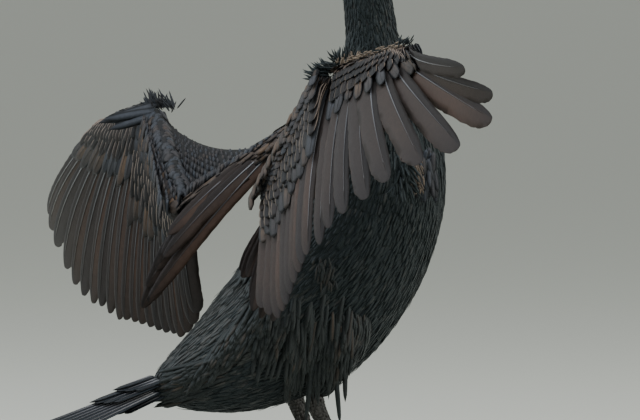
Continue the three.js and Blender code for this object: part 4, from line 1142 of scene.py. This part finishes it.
def web_mesh(bm, leg, first, second):
    """Thin skin between two toes with a hollowed front edge."""
    grid = bmesh.ops.create_grid(bm, x_segments=10, y_segments=12, size=1)["verts"]
    for vert in grid:
        a, r = vert.co.x * 0.5 + 0.5, vert.co.y * 0.5 + 0.5
        reach = between(first[1], second[1], a) * (0.94 - 0.14 * math.sin(a * math.pi)) * (0.06 + 0.94 * r)
        high = 1.0 + 1.4 * abs(math.cos(a * math.pi)) + 0.25 * math.sin(a * 14)
        vert.co = metres([*on_floor(leg, between(first[0], second[0], a), reach), high])
    bmesh.ops.solidify(bm, geom=list({f for v in grid for f in v.link_faces}), thickness=0.0009)


for leg in LEGS:
    shank = f"shank_{leg['name']}"
    limb_piece(f"{shank}_skin", shank_limb(leg), 24, 36, LEG_SKIN, (shank,))
    scute = {"template": SCALE, "course": 1, "spacing": 3.4, "range": (0.04, 0.97), "ruffle": 0.02,
             "length": 4.6, "width": 2.1, "lift": 0.06}
    column = 0.02 if leg["side"] > 0 else 0.5
    lay_coat(f"shank_{leg['name']}_scutes", shank_limb(leg), scute, "leg_skin", SCUTE_HORN,
             (column, 0.0, 0.1, 0.2))
    for k, (turn, length) in enumerate(TOES):
        lay_coat(f"toe_{leg['name']}_{k + 1}_scutes", toe_limb(leg, turn, length), {
            **scute, "spacing": 3.0, "length": 4, "width": 1.8, "keep": lambda p: p[:, 2] > 3.5,
        }, "leg_skin", SCUTE_HORN, (column + 0.12 + 0.08 * k, 0.0, 0.06, 0.2))
    bm = bmesh.new()
    for turn, length in TOES:
        limb_bmesh(toe_limb(leg, turn, length), 16, 40, bm)
    foot = f"foot_{leg['name']}"
    place_piece(f"{foot}_toes", finish_bmesh(bm, "toes"), LEG_SKIN, (foot,))
    webs = bmesh.new()
    for first, second in ((TOES[0], TOES[1]), (TOES[1], TOES[2]), (TOES[2], TOES[3])):
        web_mesh(webs, leg, first, second)
    place_piece(f"{foot}_web", finish_bmesh(webs, "web"), WEB_SKIN)
    for k, (turn, length) in enumerate(TOES):
        name = f"claw_{leg['name']}_{k + 1}"
        limb_piece(f"{name}_horn", claw_limb(leg, turn, length), 12, 14, CLAW_HORN, (name,))


# Floor, light and camera

PICTURE = (640, 420)
PIXELS_PER_MM = 1.15
BELLY_PIXEL = (312, 242)
BELLY_PLACE = (0, 0, 200)
VIEW_DISTANCE = 9.0
SENSOR_MM = 36.0

back = np.array([math.sin(VIEW_TURN) * math.cos(VIEW_RISE), -math.cos(VIEW_TURN) * math.cos(VIEW_RISE),
                 math.sin(VIEW_RISE)])
right = np.array([math.cos(VIEW_TURN), math.sin(VIEW_TURN), 0])
above = np.cross(back, right)
rightward = (PICTURE[0] / 2 - BELLY_PIXEL[0]) / PIXELS_PER_MM / 1000
upward = (BELLY_PIXEL[1] - PICTURE[1] / 2) / PIXELS_PER_MM / 1000
aim = metres(BELLY_PLACE) + right * rightward + above * upward

camera_data = bpy.data.cameras.new("camera")
camera = bpy.data.objects.new("camera", camera_data)
bpy.context.scene.collection.objects.link(camera)
camera.location = Vector(aim + back * VIEW_DISTANCE)
camera.rotation_euler = Vector(back).to_track_quat("Z", "Y").to_euler()
camera_data.sensor_width = SENSOR_MM
camera_data.lens = SENSOR_MM * VIEW_DISTANCE * 1000 * PIXELS_PER_MM / PICTURE[0]
camera_data.clip_end = 100.0
bpy.context.scene.camera = camera

floor_bm = bmesh.new()
bmesh.ops.create_grid(floor_bm, x_segments=1, y_segments=1, size=40.0)
floor_mesh = bpy.data.meshes.new("floor")
floor_bm.to_mesh(floor_mesh)
floor_bm.free()
floor = bpy.data.objects.new("floor", floor_mesh)
bpy.context.scene.collection.objects.link(floor)
# Matt pale paint, so that the floor gives soft contact shadows and no glare
floor_paint, _, floor_shader = new_material("pale_floor_paint")
floor_shader.inputs["Base Color"].default_value = srgb("#c6c8bd")
floor_shader.inputs["Roughness"].default_value = 0.9
floor_shader.inputs["Specular IOR Level"].default_value = 0.1
floor.data.materials.append(floor_paint)


def soft_light(name, place, aim_at, power, size, colour):
    data = bpy.data.lights.new(name, "AREA")
    data.energy = power
    data.size = size
    data.color = srgb(colour)[:3]
    light = bpy.data.objects.new(name, data)
    bpy.context.scene.collection.objects.link(light)
    light.location = Vector(place)
    light.rotation_euler = (Vector(place) - Vector(aim_at)).to_track_quat("Z", "Y").to_euler()


heart = tuple(metres([0, 0, 250]))
soft_light("sky_panel", (-0.8, -1.0, 2.8), heart, 70, 2.6, "#f4f7ff")
soft_light("breast_panel", (2.4, -1.6, 1.6), heart, 34, 1.8, "#fffaf2")
soft_light("back_panel", (-2.2, 1.4, 1.6), heart, 30, 1.8, "#eef4ff")
world = bpy.data.worlds.new("studio")
world.use_nodes = True
world.node_tree.nodes["Background"].inputs[0].default_value = srgb("#dfe3e4")
world.node_tree.nodes["Background"].inputs[1].default_value = 0.7
bpy.context.scene.world = world
